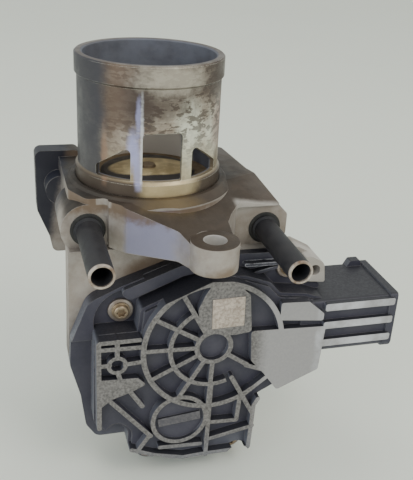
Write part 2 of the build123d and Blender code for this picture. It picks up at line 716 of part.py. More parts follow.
def brow_outline():
    """The bar along the upper left edge of the cover."""
    return shape([(-19, -37), (6.7, -27), (16, -26.4), (16, -30.4), (8, -31.8), (-14.5, -41.2)], [2, 2, 1, 1, 2, 2])


def housing_outline():
    """The aluminium flange that carries the cover."""
    points = [(-38.0, -22), (-38.6, -60), (-38.9, -73.4), (-34.6, -89.8), (-32.6, -106), (-28.5, -113.5),
              (-13, -113.5), (-6, -119), (6.7, -122), (41.8, -122), (44, -96.5), (54, -90.5), (66.5, -82.5),
              (68.3, -50), (68.3, -43.6), (73.7, -42.8), (72.5, -32.5), (66.6, -29.3), (62, PLATE_TOP_RIGHT),
              (37, PLATE_TOP_RIGHT), (33, -22)]
    face = shape(points, [1, 3, 6, 6, 6, 4, 5, 6, 12, 3, 5, 4, 4, 4, 1, 0.8, 4, 3, 2, 1, 1])
    for spot in SCREW_SPOTS[2:]:
        face += Pos(*spot) * Circle(LUG_R)
    return face


# ---------------------------------------------------------------- cast housing
def build_deck():
    """The deck with the raised face of the tube and the arm that slopes down to the front ear."""
    low = DECK_TOP - DECK_THICK
    plate = shape(
        [(DECK_LEFT, FLANGE_BACK - 2), (DECK_LEFT, -14), (-30, DECK_FRONT), (-22.5, DECK_FRONT), (-15.5, -36),
         (27, -36), (34.5, CORE_FRONT - 1.5), (52, CORE_FRONT - 1.5), (53.4, CORE_FRONT), (46, 2),
         (DECK_RIGHT_BACK, FLANGE_BACK - 2)],
        [3, 8, 3, 2, 2, 2, 2, 1, 0.5, 6, 3])
    body = Pos(0, 0, low) * extrude(plate, amount=DECK_THICK)
    arm = shape(
        [(-21.5, CORE_FRONT + 2), (-21.5, -29.5), (-15.5, -36), (3.4, -46.8), (EAR_X - EAR_R, EAR_Y),
         (EAR_X + EAR_R, EAR_Y), (EAR_X + EAR_R, -38.5), (34, CORE_FRONT), (34, CORE_FRONT + 2)],
        [0, 1, 2, 4, 0, 0, 3, 1, 0])
    arm += Pos(EAR_X, EAR_Y) * Circle(EAR_R)
    body += Pos(0, 0, EAR_TOP - EAR_THICK) * extrude(arm, amount=EAR_THICK - EAR_TOP + DECK_TOP)
    # everything in front of the tube is planed down to the slope
    back, ahead = FLANGE_BACK, EAR_Y - 2 * EAR_R
    heights = [SLOPE_AT_AXIS + SLOPE_Y * y for y in (ahead, back)]
    wedge = make_face(Polyline((ahead, heights[0]), (back, heights[1]), (back, heights[1] + 60), (ahead, heights[1] + 60),
                               close=True))
    tilt = math.degrees(math.atan(-SLOPE_X))
    over = extrude(Plane.YZ * wedge, amount=90, both=True)
    body -= Pos(0, 0, SLOPE_AT_AXIS) * Rot(0, tilt, 0) * Pos(0, 0, -SLOPE_AT_AXIS) * over
    body -= post_z((EAR_X, EAR_Y), SPOTFACE_R, EAR_TOP, DECK_TOP + 1)
    outer = DECK_SEAT_R + SEAT_SKIRT
    skirt = lathe([(0, low), (outer, low), (outer, -SEAT_SKIRT), (DECK_SEAT_R, 0), (0, 0)])
    return body + (skirt & Pos(0, 0, low) * extrude(plate, amount=-low))


def build_core():
    """The block under the deck that holds the gas chamber and the coolant bosses."""
    low = DECK_TOP - DECK_THICK
    block = shape(
        [(CORE_LEFT, CORE_BACK), (CORE_LEFT, CORE_FRONT), (CORE_RIGHT, CORE_FRONT), (CORE_RIGHT, CORE_BACK)], 5)
    body = Pos(0, 0, CORE_BOTTOM + 10) * extrude(block, amount=low - CORE_BOTTOM - 10 + 1)
    body += post_z((0, 0), 24.0, CORE_BOTTOM, low)
    body += post_y(PIPE_LEFT, BOSS_LEFT_R, BOSS_FRONT, 0)
    boss = shape(
        [(34, -6), (47, -7.8), (52, -8.3), (57.5, -13), (57.5, -23), (50, -30), (34, -34)], [0, 0, 2, 2, 3, 4, 0])
    body += slab_y(boss, CORE_FRONT, 4)
    return body


def build_back_flange():
    """The plate that bolts to the exhaust gas pipe."""
    outline = shape(
        [(FLANGE_LEFT, FLANGE_TOP), (FLANGE_LEFT, -26.8), (-41.6, -40.3), (-40, FLANGE_BOTTOM),
         (34, FLANGE_BOTTOM), (FLANGE_RIGHT, -34), (FLANGE_RIGHT, DECK_TOP), (-25, DECK_TOP), (-28, FLANGE_TOP)],
        [3, 4, 4, 3, 5, 5, 3, 3, 3])
    body = slab_y(outline, FLANGE_BACK - FLANGE_THICK, FLANGE_BACK)
    for side in (-1, 1):
        body += post_y((side * FLANGE_BOLT_X, PORT_Z), FLANGE_BOSS_R, FLANGE_BACK - FLANGE_BOLT_DEPTH - 4, FLANGE_BACK)
    return body


def build_valve_housing():
    body = build_deck() + build_core() + build_back_flange()
    body += slab_y(housing_outline(), GASKET_PLANE, FLOOR + FLOOR_THICK)
    lug = shape([(63, -41), (73.7, -42.2), (72.5, -32.5), (66.6, -29.3), (63, -29.3)], [1, 0.8, 4, 3, 1])
    body += slab_y(lug, STUD_FRONT, GASKET_PLANE)
    body += post_y(LINK_AXIS, LINK_R + LINK_WALL, FLOOR, LINK_BACK)
    body += post_y(MOTOR_AXIS, BARREL_R, FLOOR, MOTOR_BACK + MOTOR_BOSS + 3)
    body += post_z((0, 0), SPRING_BORE_R + LINK_WALL, YOKE_REST - 3, CHAMBER_FLOOR)
    body += post_y(IDLER_AXIS, IDLER_PIN_R + 4, FLOOR, IDLER_PIN_BACK + 2)
    for spot in SCREW_SPOTS:
        body += post_y(spot, LUG_R - 0.4, FLOOR, RIM_FRONT + SCREW_LENGTH + 2)
    web = shape([(-4, -76), (16, -76), (16, -86), (-4, -86)], 2)
    body += slab_y(web, FLOOR, LINK_BACK)
    for lug in motor_lugs():
        body += post_y(lug, SCREW_R + 2, FLOOR, FLOOR + MOTOR_SCREW + 2)
    # gas side
    body -= post_z((0, 0), TUBE_R + FOOT_OVER + SIDE_GAP, -FOOT_SUNK, FLANGE_TOP + 1)
    body -= post_z((0, 0), TUBE_R + FIT, -SPIGOT_DEPTH, 1)
    body -= post_z((0, 0), SEAT_BORE_R, CHAMBER_FLOOR, 1)
    body -= post_y((0, PORT_Z), PORT_R, SEAT_BORE_R - PORT_REACH, FLANGE_BACK + 1)
    body -= post_z((0, 0), SEAL_R, CHAMBER_FLOOR - SEAL_THICK, CHAMBER_FLOOR + 1)
    body -= post_z((0, 0), BUSH_R, CHAMBER_FLOOR - SEAL_THICK - BUSH_LENGTH - 1, CHAMBER_FLOOR)
    annulus = Circle(SPRING_BORE_R) - Circle(GUIDE_BOSS_R)
    body -= Pos(0, 0, YOKE_REST - 2) * extrude(annulus, amount=SPRING_TOP - YOKE_REST + 2)
    boss_foot = CHAMBER_FLOOR - SEAL_THICK - BUSH_LENGTH
    body -= post_z((0, 0), SPRING_BORE_R, YOKE_REST - 2, boss_foot)
    for side in (-1, 1):
        body -= post_y((side * FLANGE_BOLT_X, PORT_Z), FLANGE_BOLT_R, FLANGE_BACK - FLANGE_BOLT_DEPTH, FLANGE_BACK + 1)
    body -= post_z((EAR_X, EAR_Y), EAR_HOLE_R, EAR_TOP - EAR_THICK - 1, EAR_TOP + 1)
    for axis, face in ((PIPE_LEFT, BOSS_FRONT), (PIPE_RIGHT, CORE_FRONT)):
        body -= blind(axis, PIPE_R + FIT, face, PIPE_SOCKET)
        body -= blind(axis, PIPE_SEAL_R, face, PIPE_SEAL_THICK)
    # actuator side
    body -= slab_y(chamber_outline(), GASKET_PLANE - 1, FLOOR)
    body -= post_y(LINK_AXIS, LINK_R, LINK_FRONT, LINK_BACK + 1)
    body -= post_y(SHAFT_AXIS, SHAFT_SEAL_R, FLOOR - 1, FLOOR + SHAFT_SEAL_THICK)
    body -= post_y(SHAFT_AXIS, SHAFT_BUSH_R + FIT, FLOOR, LINK_FRONT + 1)
    body -= post_y(IDLER_AXIS, IDLER_PIN_R + FIT, FLOOR - 1, IDLER_PIN_BACK)
    body -= slab_y(flange_outline(0.2), FLOOR - 1, CAN_FRONT)
    body -= post_y(MOTOR_AXIS, MOTOR_R + 0.1, FLOOR, MOTOR_BACK + 0.3)
    body -= post_y(MOTOR_AXIS, MOTOR_BOSS_R + 0.3, FLOOR, MOTOR_BACK + MOTOR_BOSS + 0.3)
    for lug in motor_lugs():
        body -= post_y(lug, SCREW_R - 0.3, FLOOR, FLOOR + MOTOR_SCREW + 0.5)
    for spot in SCREW_SPOTS:
        body -= post_y(spot, SCREW_R + FIT, GASKET_PLANE - 1, RIM_FRONT + SCREW_LENGTH + 0.5)
    return body - post_y(STUD_AT, STUD_HOLE_R, STUD_FRONT - 1, STUD_FRONT + STUD_DEPTH)


def build_linkage_cap():
    rim = LINK_R - FIT
    return lathe_y(LINK_AXIS, [
        (0, LINK_BACK - CAP_THICK - 2), (rim - 4, LINK_BACK - CAP_THICK - 2), (rim - 3, LINK_BACK - CAP_THICK),
        (rim - CAP_LIP, LINK_BACK - CAP_THICK), (rim, LINK_BACK - CAP_THICK), (rim, LINK_BACK + 0.4),
        (rim - CAP_LIP, LINK_BACK + 0.4), (rim - CAP_LIP, LINK_BACK - CAP_THICK + CAP_LIP),
        (rim - 4, LINK_BACK - CAP_THICK + CAP_LIP), (rim - 5, LINK_BACK - CAP_THICK - 2 + CAP_LIP),
        (0, LINK_BACK - CAP_THICK - 2 + CAP_LIP),
    ])


def build_coolant_pipe(axis, face):
    bore = PIPE_R - PIPE_WALL
    bead = face - 0.6
    return lathe_y(axis, [
        (bore, PIPE_TIP), (PIPE_R - 0.3, PIPE_TIP), (PIPE_R, PIPE_TIP + 0.3), (PIPE_R, bead - 1.6),
        (PIPE_BEAD_R, bead - 1.2), (PIPE_BEAD_R, bead - 0.4), (PIPE_R, bead), (PIPE_R, face + PIPE_SOCKET - 0.2),
        (bore, face + PIPE_SOCKET - 0.2),
    ])


def build_pipe_seals():
    seals = Part()
    for axis, face in ((PIPE_LEFT, BOSS_FRONT), (PIPE_RIGHT, CORE_FRONT)):
        seals += lathe_y(axis, [
            (PIPE_R + FIT, face - 0.5), (PIPE_SEAL_R - FIT, face - 0.3), (PIPE_SEAL_R - FIT, face + PIPE_SEAL_THICK - FIT),
            (PIPE_R + FIT, face + PIPE_SEAL_THICK - FIT),
        ])
    return seals


# ---------------------------------------------------------------- moulded cover
SPOKES = (118.5, 148.0, 178.0, 206.5, 239.0, 268.0, 325.0)


def sector(at, outer, start, end):
    """A pie slice of an outline between two angles."""
    steps = 8
    arc = [polar(at, outer, start + (end - start) * step / steps) for step in range(steps + 1)]
    return make_face(Polyline(at, *arc, close=True))


def hub_ribs():
    """The two rings round the hub and the spokes between them."""
    ribs = ring(SHAFT_AXIS, RING_R, RING_WIDTH) & sector(SHAFT_AXIS, 2 * RING_R, 8, 308)
    ribs += ring(SHAFT_AXIS, INNER_RING_R, RIB_WIDTH) & sector(SHAFT_AXIS, 2 * RING_R, 118, 290)
    for angle in SPOKES:
        end = INNER_RING_R - 1 if angle > 300 else RING_R - 1
        ribs += strip(polar(SHAFT_AXIS, HUB_RING_R - 1, angle), polar(SHAFT_AXIS, end, angle), RIB_WIDTH)
    ribs += strip(polar(SHAFT_AXIS, INNER_RING_R - 1, 298), polar(SHAFT_AXIS, 42, 298), RIB_WIDTH)
    return ribs


def label_pads():
    """The flat raised pads: by the hub, at the left edge and over the connector root."""
    pads = shape([(18, -32.5), (15.2, -37.3), (12.6, -43.6), (13.7, -50.4), (18.5, -56.2), (29.4, -57.4), (36.8, -56.5),
                  (34.9, -38.4), (29, -33)], [1, 3, 3, 3, 2, 2, 1.5, 2, 2])
    pads += Pos(*SHAFT_AXIS) * Circle(HUB_RING_R)
    pads += shape([(36.6, -56.3), (71.2, -57.6), (70.0, -80.0), (51.0, -88.6), (43.8, -78.7), (37.7, -71.6)], 1.5)
    pads += shape([(49.2, -43.8), (62, -44.4), (69.6, -51), (69.6, -54.6), (49.2, -52.4)], 1.0)
    pads += shape([(-28.6, -73.1), (-12.1, -73.8), (-8.4, -77.6), (-14.5, -80.6), (-23, -83.5), (-28.6, -88)], 1.0)
    return pads


def lattice_ribs():
    """The free ribs outside the hub's rings, each from one end to the other."""
    lines = [
        ((-28, -58.4), (-10.4, -58.8)), ((-28, -66.2), (-24, -66.2)), ((-17.5, -66.4), (-10.6, -66.0)),
        ((-20.8, -55), (-20.8, -63)), ((-20.6, -70), (-19.4, -74.5)), ((-28, -55.2), (-11.5, -55.2)),
        ((-28.4, -55), (-28.4, -98)), ((-23.9, -84.2), (-6.0, -105.6)), ((-15.4, -80.4), (-10.0, -88.8)),
        ((-6.6, -105.2), (-11.6, -112.8)), ((20.2, -82), (19.6, -120.4)), ((-1.7, -112.7), (16.8, -113.6)),
        ((19.4, -111.8), (41, -107.4)), ((33.9, -90.4), (33.1, -102.8)), ((33.1, -102.8), (20.4, -102.2)),
        ((35.5, -73.6), (48.4, -78.8)), ((48.4, -78.8), (34.4, -90.2)), ((40.9, -96), (40.0, -119.6)),
        ((40.0, -119.6), (17, -119.6)), ((17, -119.6), (9, -120)), ((9, -120), (-3.8, -116.6)),
        ((-3.8, -116.6), (-14.4, -112)), ((42.6, -92.6), (40.9, -96)),
    ]
    ribs = Sketch()
    for start, end in lines:
        ribs += strip(start, end, RIB_WIDTH)
    ribs += ring((-20.8, -66.6), 4.4, 1.7)
    ribs += ring(MOTOR_AXIS, EYE_R, RIB_WIDTH)
    return ribs


def plug_profile(grow):
    """The section of the connector shroud in y and z, grown or shrunk."""
    low, high = PLUG_BOTTOM - grow, PLUG_TOP + grow
    front, back = PLUG_FRONT + RAIL_STAND - grow, PLUG_BACK + grow
    corner = 3.5 + grow
    return shape([(front, low), (back, low), (back, high), (front, high)], [corner, 1.5, 1.5, 1.5])


def build_plug():
    """The connector shroud with its rails and the catch on top."""
    section = plug_profile(0)
    body = extrude(Plane.YZ.offset(PLUG_ROOT + 1) * section, amount=PLUG_MOUTH - PLUG_ROOT - 1)
    ahead = Pos((PLUG_FRONT + GASKET_PLANE) / 2, 0) * Rectangle(GASKET_PLANE - PLUG_FRONT, 400)
    body += extrude(Plane.YZ.offset(PLUG_ROOT - 10) * (section & ahead), amount=12)
    rail_height = (PLUG_TOP - PLUG_BOTTOM) / RAIL_COUNT
    for rail in range(RAIL_COUNT):
        top = PLUG_TOP - 0.6 - rail * rail_height
        face = shape([(PLUG_ROOT, top - 3.6), (PLUG_MOUTH - 2, top - 3.6), (PLUG_MOUTH - 2, top), (PLUG_ROOT, top)], 1.0)
        body += slab_y(face, PLUG_FRONT, PLUG_FRONT + RAIL_STAND + 1)
    lip = extrude(Plane.YZ.offset(PLUG_MOUTH - 4 * PLUG_LIP) * plug_profile(PLUG_LIP), amount=4 * PLUG_LIP)
    body += lip
    catch = shape([(PLUG_MOUTH - 12, PLUG_TOP - 0.5), (PLUG_MOUTH - 4, PLUG_TOP - 0.5), (PLUG_MOUTH - 5, PLUG_TOP + 3),
                   (PLUG_MOUTH - 10, PLUG_TOP + 3)], [0, 0, 1, 1])
    body += slab_y(catch, PLUG_BACK - 4, PLUG_BACK)
    cavity = Plane.YZ.offset(PLUG_MOUTH - PLUG_DEPTH) * plug_profile(-PLUG_WALL)
    return body - extrude(cavity, amount=PLUG_DEPTH + 1)


def board_outline(grow):
    """The sensor's circuit board, inside the cover behind the hub."""
    return Pos(*SHAFT_AXIS) * Circle(HUB_R + grow)


def gasket_outline(grow):
    """The seal's path round the gear chamber."""
    inner = GASKET_STANDOFF + 0.1
    outer = offset(chamber_outline(), inner + GROOVE_WIDTH + grow)
    return outer - offset(chamber_outline(), inner - grow)


def blade_at(blade):
    """The place of one terminal blade in y and z."""
    middle = (PLUG_FRONT + RAIL_STAND + PLUG_BACK) / 2
    return middle + (blade - (BLADE_COUNT - 1) / 2) * BLADE_PITCH, (PLUG_TOP + PLUG_BOTTOM) / 2


def blade_bar(blade, grow):
    """One terminal blade, from inside the connector's root to its tip."""
    y, z = blade_at(blade)
    face = shape([(PLUG_ROOT - 2, y - BLADE_HALF_WIDTH - grow), (BLADE_TIP, y - BLADE_HALF_WIDTH - grow),
                  (BLADE_TIP, y + BLADE_HALF_WIDTH + grow), (PLUG_ROOT - 2, y + BLADE_HALF_WIDTH + grow)],
                 [0, 0.6, 0.6, 0])
    thick = BLADE_HALF_THICK + grow
    return Pos(0, 0, z - thick) * extrude(face, amount=2 * thick)


def build_actuator_cover():
    outline = dome_outline()
    body = slab_y(rim_outline(), RIM_FRONT, GASKET_PLANE)
    body += slab_y(outline, SKIN_FRONT + DOME_STEP, GASKET_PLANE)
    body += slab_y(offset(outline, -DOME_STEP), SKIN_FRONT, GASKET_PLANE)
    body += slab_y(brow_outline() & rim_outline(), BROW_FRONT, RIM_FRONT)
    edge = (rim_outline() & Pos(-24, -45) * Rectangle(32, 30)) - Pos(-14, -52) * Circle(POCKET_R)
    body += slab_y(edge, POCKET_FRONT, RIM_FRONT)
    for start, end in (((36, -30.4), (50, -30.6)), ((40, -34.6), (51, -32.2))):
        body += slab_y(strip(start, end, DOME_STEP), POCKET_FRONT, RIM_FRONT)
    body += build_plug()
    raised = (hub_ribs() + lattice_ribs() + label_pads()) & outline
    body += slab_y(raised, RIB_FRONT, SKIN_FRONT + DOME_STEP)
    body += slab_y(Pos(*MOTOR_AXIS) * Circle(EYE_R - 1), RIB_FRONT + EYE_DEPTH, SKIN_FRONT)
    bar = Pos(*MOTOR_AXIS) * Rot(0, 0, 6) * Rectangle(2 * EYE_R - 7, 4.2)
    body += slab_y(bar, RIB_FRONT + 0.5, SKIN_FRONT)
    body -= post_y(SHAFT_AXIS, DIMPLE_R, RIB_FRONT - 1, RIB_FRONT + DIMPLE_DEPTH)
    inside = SKIN_FRONT + SKIN
    body -= slab_y(chamber_outline() & offset(outline, -SKIN), inside, GASKET_PLANE + 1)
    body += slab_y(Pos(*IDLER_AXIS) * Circle(IDLER_PIN_R + 2.5), inside - 1, IDLER_FRONT - SIDE_GAP)
    body -= post_y(IDLER_AXIS, IDLER_PIN_R + FIT, IDLER_PIN_FRONT - 0.3, GASKET_PLANE)
    body -= slab_y(board_outline(FIT), inside - 1, inside + 1)
    body -= slab_y(gasket_outline(0.05), GASKET_PLANE - GASKET_THICK - FIT, GASKET_PLANE + 1)
    for spot in SCREW_SPOTS:
        body -= post_y(spot, LUG_R - 0.6, SKIN_FRONT - 10, RIM_FRONT)
        body -= post_y(spot, SLEEVE_R, RIM_FRONT - 1, RIM_FRONT + 1)
        body -= post_y(spot, SLEEVE_R - 1.4 + FIT, RIM_FRONT - 1, GASKET_PLANE + 1)
    for blade in range(BLADE_COUNT):
        body -= blade_bar(blade, FIT)
    return body


def build_sensor_board():
    inside = SKIN_FRONT + SKIN
    chip = Pos(*SHAFT_AXIS) * Rectangle(4.4, 5.0)
    return slab_y(board_outline(0), inside - 1 + FIT, inside - 0.2) + slab_y(chip, inside - 0.2, inside + 0.5)


def build_cover_gasket():
    return slab_y(gasket_outline(-0.05), GASKET_PLANE - GASKET_THICK, GASKET_PLANE)


def build_cover_sleeves():
    sleeves = Part()
    for spot in SCREW_SPOTS:
        neck = SLEEVE_R - 1.4
        sleeves += lathe_y(spot, [
            (SLEEVE_BORE_R, RIM_FRONT - 1.2), (SLEEVE_R - 0.3, RIM_FRONT - 1.2), (SLEEVE_R - FIT, RIM_FRONT - 0.9),
            (SLEEVE_R - FIT, RIM_FRONT + 1.0 - FIT), (neck, RIM_FRONT + 1.0 - FIT), (neck, GASKET_PLANE),
            (SLEEVE_BORE_R, GASKET_PLANE),
        ])
    return sleeves


def build_cover_screws():
    screws = Part()
    seat = RIM_FRONT - 1.2
    for spot in SCREW_SPOTS:
        screw = lathe_y(spot, [
            (0, seat - SCREW_HEAD), (SCREW_HEAD_R - 1.2, seat - SCREW_HEAD), (SCREW_HEAD_R - 0.3, seat - SCREW_HEAD + 0.7),
            (SCREW_HEAD_R, seat - 0.8), (SCREW_HEAD_R, seat), (SCREW_R, seat), (SCREW_R, seat + SCREW_LENGTH),
            (0, seat + SCREW_LENGTH),
        ])
        screws += screw - slab_y(Pos(*spot) * RegularPolygon(2.0, 6), seat - SCREW_HEAD - 1, seat - 0.8)
    return screws


def build_connector_terminals():
    blades = Part()
    for blade in range(BLADE_COUNT):
        blades += blade_bar(blade, 0)
    return blades


# ---------------------------------------------------------------- nodes
REAR_BUSH_FRONT = MOTOR_BACK - MOTOR_WALL + 0.2
NODES = {
    "valve_housing": build_valve_housing,
    "port_tube": build_port_tube,
    "seat_ring": build_seat_ring,
    "stem_seal": build_stem_seal,
    "stem_bush": build_stem_bush,
    "coolant_pipe_left": lambda: build_coolant_pipe(PIPE_LEFT, BOSS_FRONT),
    "coolant_pipe_right": lambda: build_coolant_pipe(PIPE_RIGHT, CORE_FRONT),
    "pipe_seals": build_pipe_seals,
    "linkage_cap": build_linkage_cap,
    "shaft_bush": build_shaft_bush,
    "shaft_seal": build_shaft_seal,
    "intermediate_pin": build_intermediate_pin,
    "motor_can": build_motor_can,
    "motor_end_cap": build_motor_end_cap,
    "motor_brushes": build_motor_brushes,
    "motor_bush_front": lambda: build_motor_bush(FLOOR + 0.2, CAN_FRONT - 0.2),
    "motor_bush_rear": lambda: build_motor_bush(REAR_BUSH_FRONT, REAR_BUSH_FRONT + MOTOR_BOSS - 0.4),
    "motor_magnets": build_motor_magnets,
    "motor_screws": build_motor_screws,
    "actuator_cover": build_actuator_cover,
    "cover_gasket": build_cover_gasket,
    "cover_sleeves": build_cover_sleeves,
    "cover_screws": build_cover_screws,
    "sensor_board": build_sensor_board,
    "connector_terminals": build_connector_terminals,
    "valve_disc": build_valve_disc,
    "valve_stem": build_valve_stem,
    "stem_yoke": build_stem_yoke,
    "spring_retainer": build_spring_retainer,
    "roller_pin": build_roller_pin,
    "roller": build_roller,
    "return_spring": build_return_spring,
    "output_shaft": build_output_shaft,
    "output_gear": build_output_gear,
    "fork_lever": build_fork_lever,
    "shaft_circlip": build_shaft_circlip,
    "sensor_magnet": build_sensor_magnet,
    "intermediate_gear": build_intermediate_gear,
    "motor_shaft": build_motor_shaft,
    "motor_pinion": build_motor_pinion,
    "rotor_core": build_rotor_core,
    "commutator": build_commutator,
}

for name, build in NODES.items():
    export_step(build(), f"parts/{name}.step")
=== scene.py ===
"""Finishes and small fittings of an exhaust gas recirculation valve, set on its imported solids."""
from __future__ import annotations

import logging
import math
from dataclasses import dataclass
from enum import Enum
from functools import reduce
from typing import Callable, Iterable

import bmesh
import bpy
from mathutils import Matrix, Vector

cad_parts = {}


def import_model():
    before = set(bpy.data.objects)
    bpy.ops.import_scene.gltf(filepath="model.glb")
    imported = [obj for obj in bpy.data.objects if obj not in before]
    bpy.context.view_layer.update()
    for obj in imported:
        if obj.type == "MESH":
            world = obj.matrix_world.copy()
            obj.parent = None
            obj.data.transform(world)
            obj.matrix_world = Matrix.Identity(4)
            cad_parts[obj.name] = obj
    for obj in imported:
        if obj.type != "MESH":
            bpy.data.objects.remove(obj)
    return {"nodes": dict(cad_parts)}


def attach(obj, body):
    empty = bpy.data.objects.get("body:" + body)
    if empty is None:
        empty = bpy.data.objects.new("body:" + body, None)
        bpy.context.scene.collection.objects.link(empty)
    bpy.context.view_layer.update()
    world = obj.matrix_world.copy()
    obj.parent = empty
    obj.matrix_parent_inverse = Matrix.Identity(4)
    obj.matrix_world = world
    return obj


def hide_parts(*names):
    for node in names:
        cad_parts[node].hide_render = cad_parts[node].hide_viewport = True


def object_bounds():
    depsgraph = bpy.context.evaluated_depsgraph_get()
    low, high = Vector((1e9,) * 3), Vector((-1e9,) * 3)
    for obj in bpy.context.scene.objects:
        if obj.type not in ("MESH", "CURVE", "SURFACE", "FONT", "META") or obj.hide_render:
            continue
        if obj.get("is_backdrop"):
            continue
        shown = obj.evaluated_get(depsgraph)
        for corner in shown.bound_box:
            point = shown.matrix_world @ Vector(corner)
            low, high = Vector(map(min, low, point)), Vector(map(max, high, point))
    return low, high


LOG = logging.getLogger("egr_valve")
Pair = tuple[float, float]
Triple = tuple[float, float, float]
Colour = Triple
Socket = bpy.types.NodeSocket

MM = 0.001
RIGHT, LEFT = (1.0, 0.0, 0.0), (-1.0, 0.0, 0.0)
BACK, FRONT = (0.0, 1.0, 0.0), (0.0, -1.0, 0.0)
UP, DOWN = (0.0, 0.0, 1.0), (0.0, 0.0, -1.0)

# The Mix node's sockets that carry colours.
MIX_FACTOR, MIX_UNDER, MIX_OVER, MIX_RESULT = 0, 6, 7, 2
# The bump's depth, the corners that only the shading rounds, and what the height is made of.
BUMP_DISTANCE = 0.2 * MM
SHADED_ROUNDING = 0.35 * MM
GRAIN_SHARE, CELL_SHARE = 0.6, 0.4
# Modelling: merging distance, and angles in degrees for bevels and for smooth shading.
MERGE = 1e-6
BEVEL_ANGLE = 30.0
SMOOTH_ANGLE = 35.0
# How closely a picked face looks along an axis, as a cosine.
SQUARE = 0.9


class Slot(Enum):
    """The record's material slots, by name; nothing in this script reads them."""

    PLASTIC = "cover_plastic"
    SCREW = "screw_steel"
    CAST = "cast_aluminium"


class Body(Enum):
    """The moving bodies that new pieces ride on."""

    HOUSING = "valve_body"


# ------------------------------------------------------------------ node trees
class Tree:
    """A node tree with short calls for adding nodes and joining them."""

    def __init__(self, tree: bpy.types.NodeTree) -> None:
        """Keeps a material's or group's own tree."""
        self.tree = tree

    def feed(self, node: bpy.types.Node, inputs: dict) -> None:
        """Joins sockets to a node's inputs, or sets plain values on them.

        Args:
            node: the node that is fed.
            inputs: sockets or plain values, by the input's name or number.
        """
        for key, value in inputs.items():
            if isinstance(value, Socket):
                self.tree.links.new(value, node.inputs[key])
            else:
                node.inputs[key].default_value = value

    def add(self, kind: str, inputs: dict | None = None, **settings: object) -> bpy.types.Node:
        """Adds a node.

        Args:
            kind: the node's type name.
            inputs: what feed takes.
            settings: the node's own properties.

        Returns:
            The node.
        """
        node = self.tree.nodes.new(kind)
        for name, value in settings.items():
            setattr(node, name, value)
        self.feed(node, inputs or {})
        return node

    def group(self, group: bpy.types.NodeTree, inputs: dict) -> bpy.types.Node:
        """Places a shared group with this material's own values."""
        return self.add("ShaderNodeGroup", inputs, node_tree=group)

    def math(self, operation: str, a: Socket | float, b: Socket | float) -> Socket:
        """Joins two values by one sum."""
        return self.add("ShaderNodeMath", {0: a, 1: b}, operation=operation).outputs[0]

    def vector(self, operation: str, a: Socket, b: Socket | Triple = (0.0, 0.0, 0.0)) -> Socket:
        """Joins two vectors by one sum, which gives a plain value for a dot product or a length."""
        node = self.add("ShaderNodeVectorMath", {0: a, 1: b}, operation=operation)
        return node.outputs["Value" if operation in ("DOT_PRODUCT", "LENGTH") else "Vector"]

    def ramp(self, value: Socket, low: float | Socket, high: float | Socket, start: float = 0.0,
             end: float = 1.0) -> Socket:
        """Eases a value from one range to another, held at both ends.

        Args:
            value: what is mapped.
            low: the value that gives start.
            high: the value that gives end.
            start: the result at low.
            end: the result at high.

        Returns:
            The eased value's socket.
        """
        inputs = {"Value": value, "From Min": low, "From Max": high, "To Min": start, "To Max": end}
        return self.add("ShaderNodeMapRange", inputs, interpolation_type="SMOOTHSTEP").outputs["Result"]

    def spread(self, mask: Socket, start: float, end: float) -> Socket:
        """Eases from start to end as a mask goes from 0 to 1."""
        return self.ramp(mask, 0.0, 1.0, start, end)

    def noise(self, vector: Socket, scale: Socket, detail: float, rough: float) -> Socket:
        """Noise from 0 to 1 over a vector."""
        inputs = {"Vector": vector, "Scale": scale, "Detail": detail, "Roughness": rough}
        return self.add("ShaderNodeTexNoise", inputs).outputs["Fac"]

    def mix(self, factor: Socket, under: Socket | Colour, over: Socket | Colour) -> Socket:
        """Lays one colour over another.

        Args:
            factor: the share of the upper colour.
            under: the lower colour.
            over: the upper colour.

        Returns:
            The mixed colour's socket.
        """
        pair = [c if isinstance(c, Socket) else (*c, 1.0) for c in (under, over)]
        inputs = {MIX_FACTOR: factor, MIX_UNDER: pair[0], MIX_OVER: pair[1]}
        return self.add("ShaderNodeMix", inputs, data_type="RGBA", clamp_factor=True).outputs[MIX_RESULT]


class Group(Tree):
    """A shared shader group under way, with its inputs by name."""

    def __init__(self, name: str, vectors: Iterable[str], values: Iterable[str],
                 results: Iterable[str]) -> None:
        """Makes an empty group with named sockets.

        Args:
            name: the group's name.
            vectors: names of the vector inputs.
            values: names of the plain inputs.
            results: names of the plain outputs.
        """
        group = bpy.data.node_groups.new(name, "ShaderNodeTree")
        for names, side, kind in ((vectors, "INPUT", "Vector"), (values, "INPUT", "Float"),
                                  (results, "OUTPUT", "Float")):
            for label in names:
                group.interface.new_socket(name=label, in_out=side, socket_type=f"NodeSocket{kind}")
        super().__init__(group)
        self.given = {s.name: s for s in self.add("NodeGroupInput").outputs if s.name}

    def ragged(self, distance: Socket) -> Socket:
        """Moves a distance to and fro by noise, as far as the Ragged input says."""
        noise = self.noise(self.given["Vector"], self.given["Scale"], detail=5.0, rough=0.65)
        lump = self.math("SUBTRACT", noise, 0.5)
        return self.math("ADD", distance, self.math("MULTIPLY", lump, self.given["Ragged"]))

    def close(self, **results: Socket) -> bpy.types.NodeTree:
        """Joins the results to the group's outputs, and hands the group over."""
        self.add("NodeGroupOutput", results)
        return self.tree


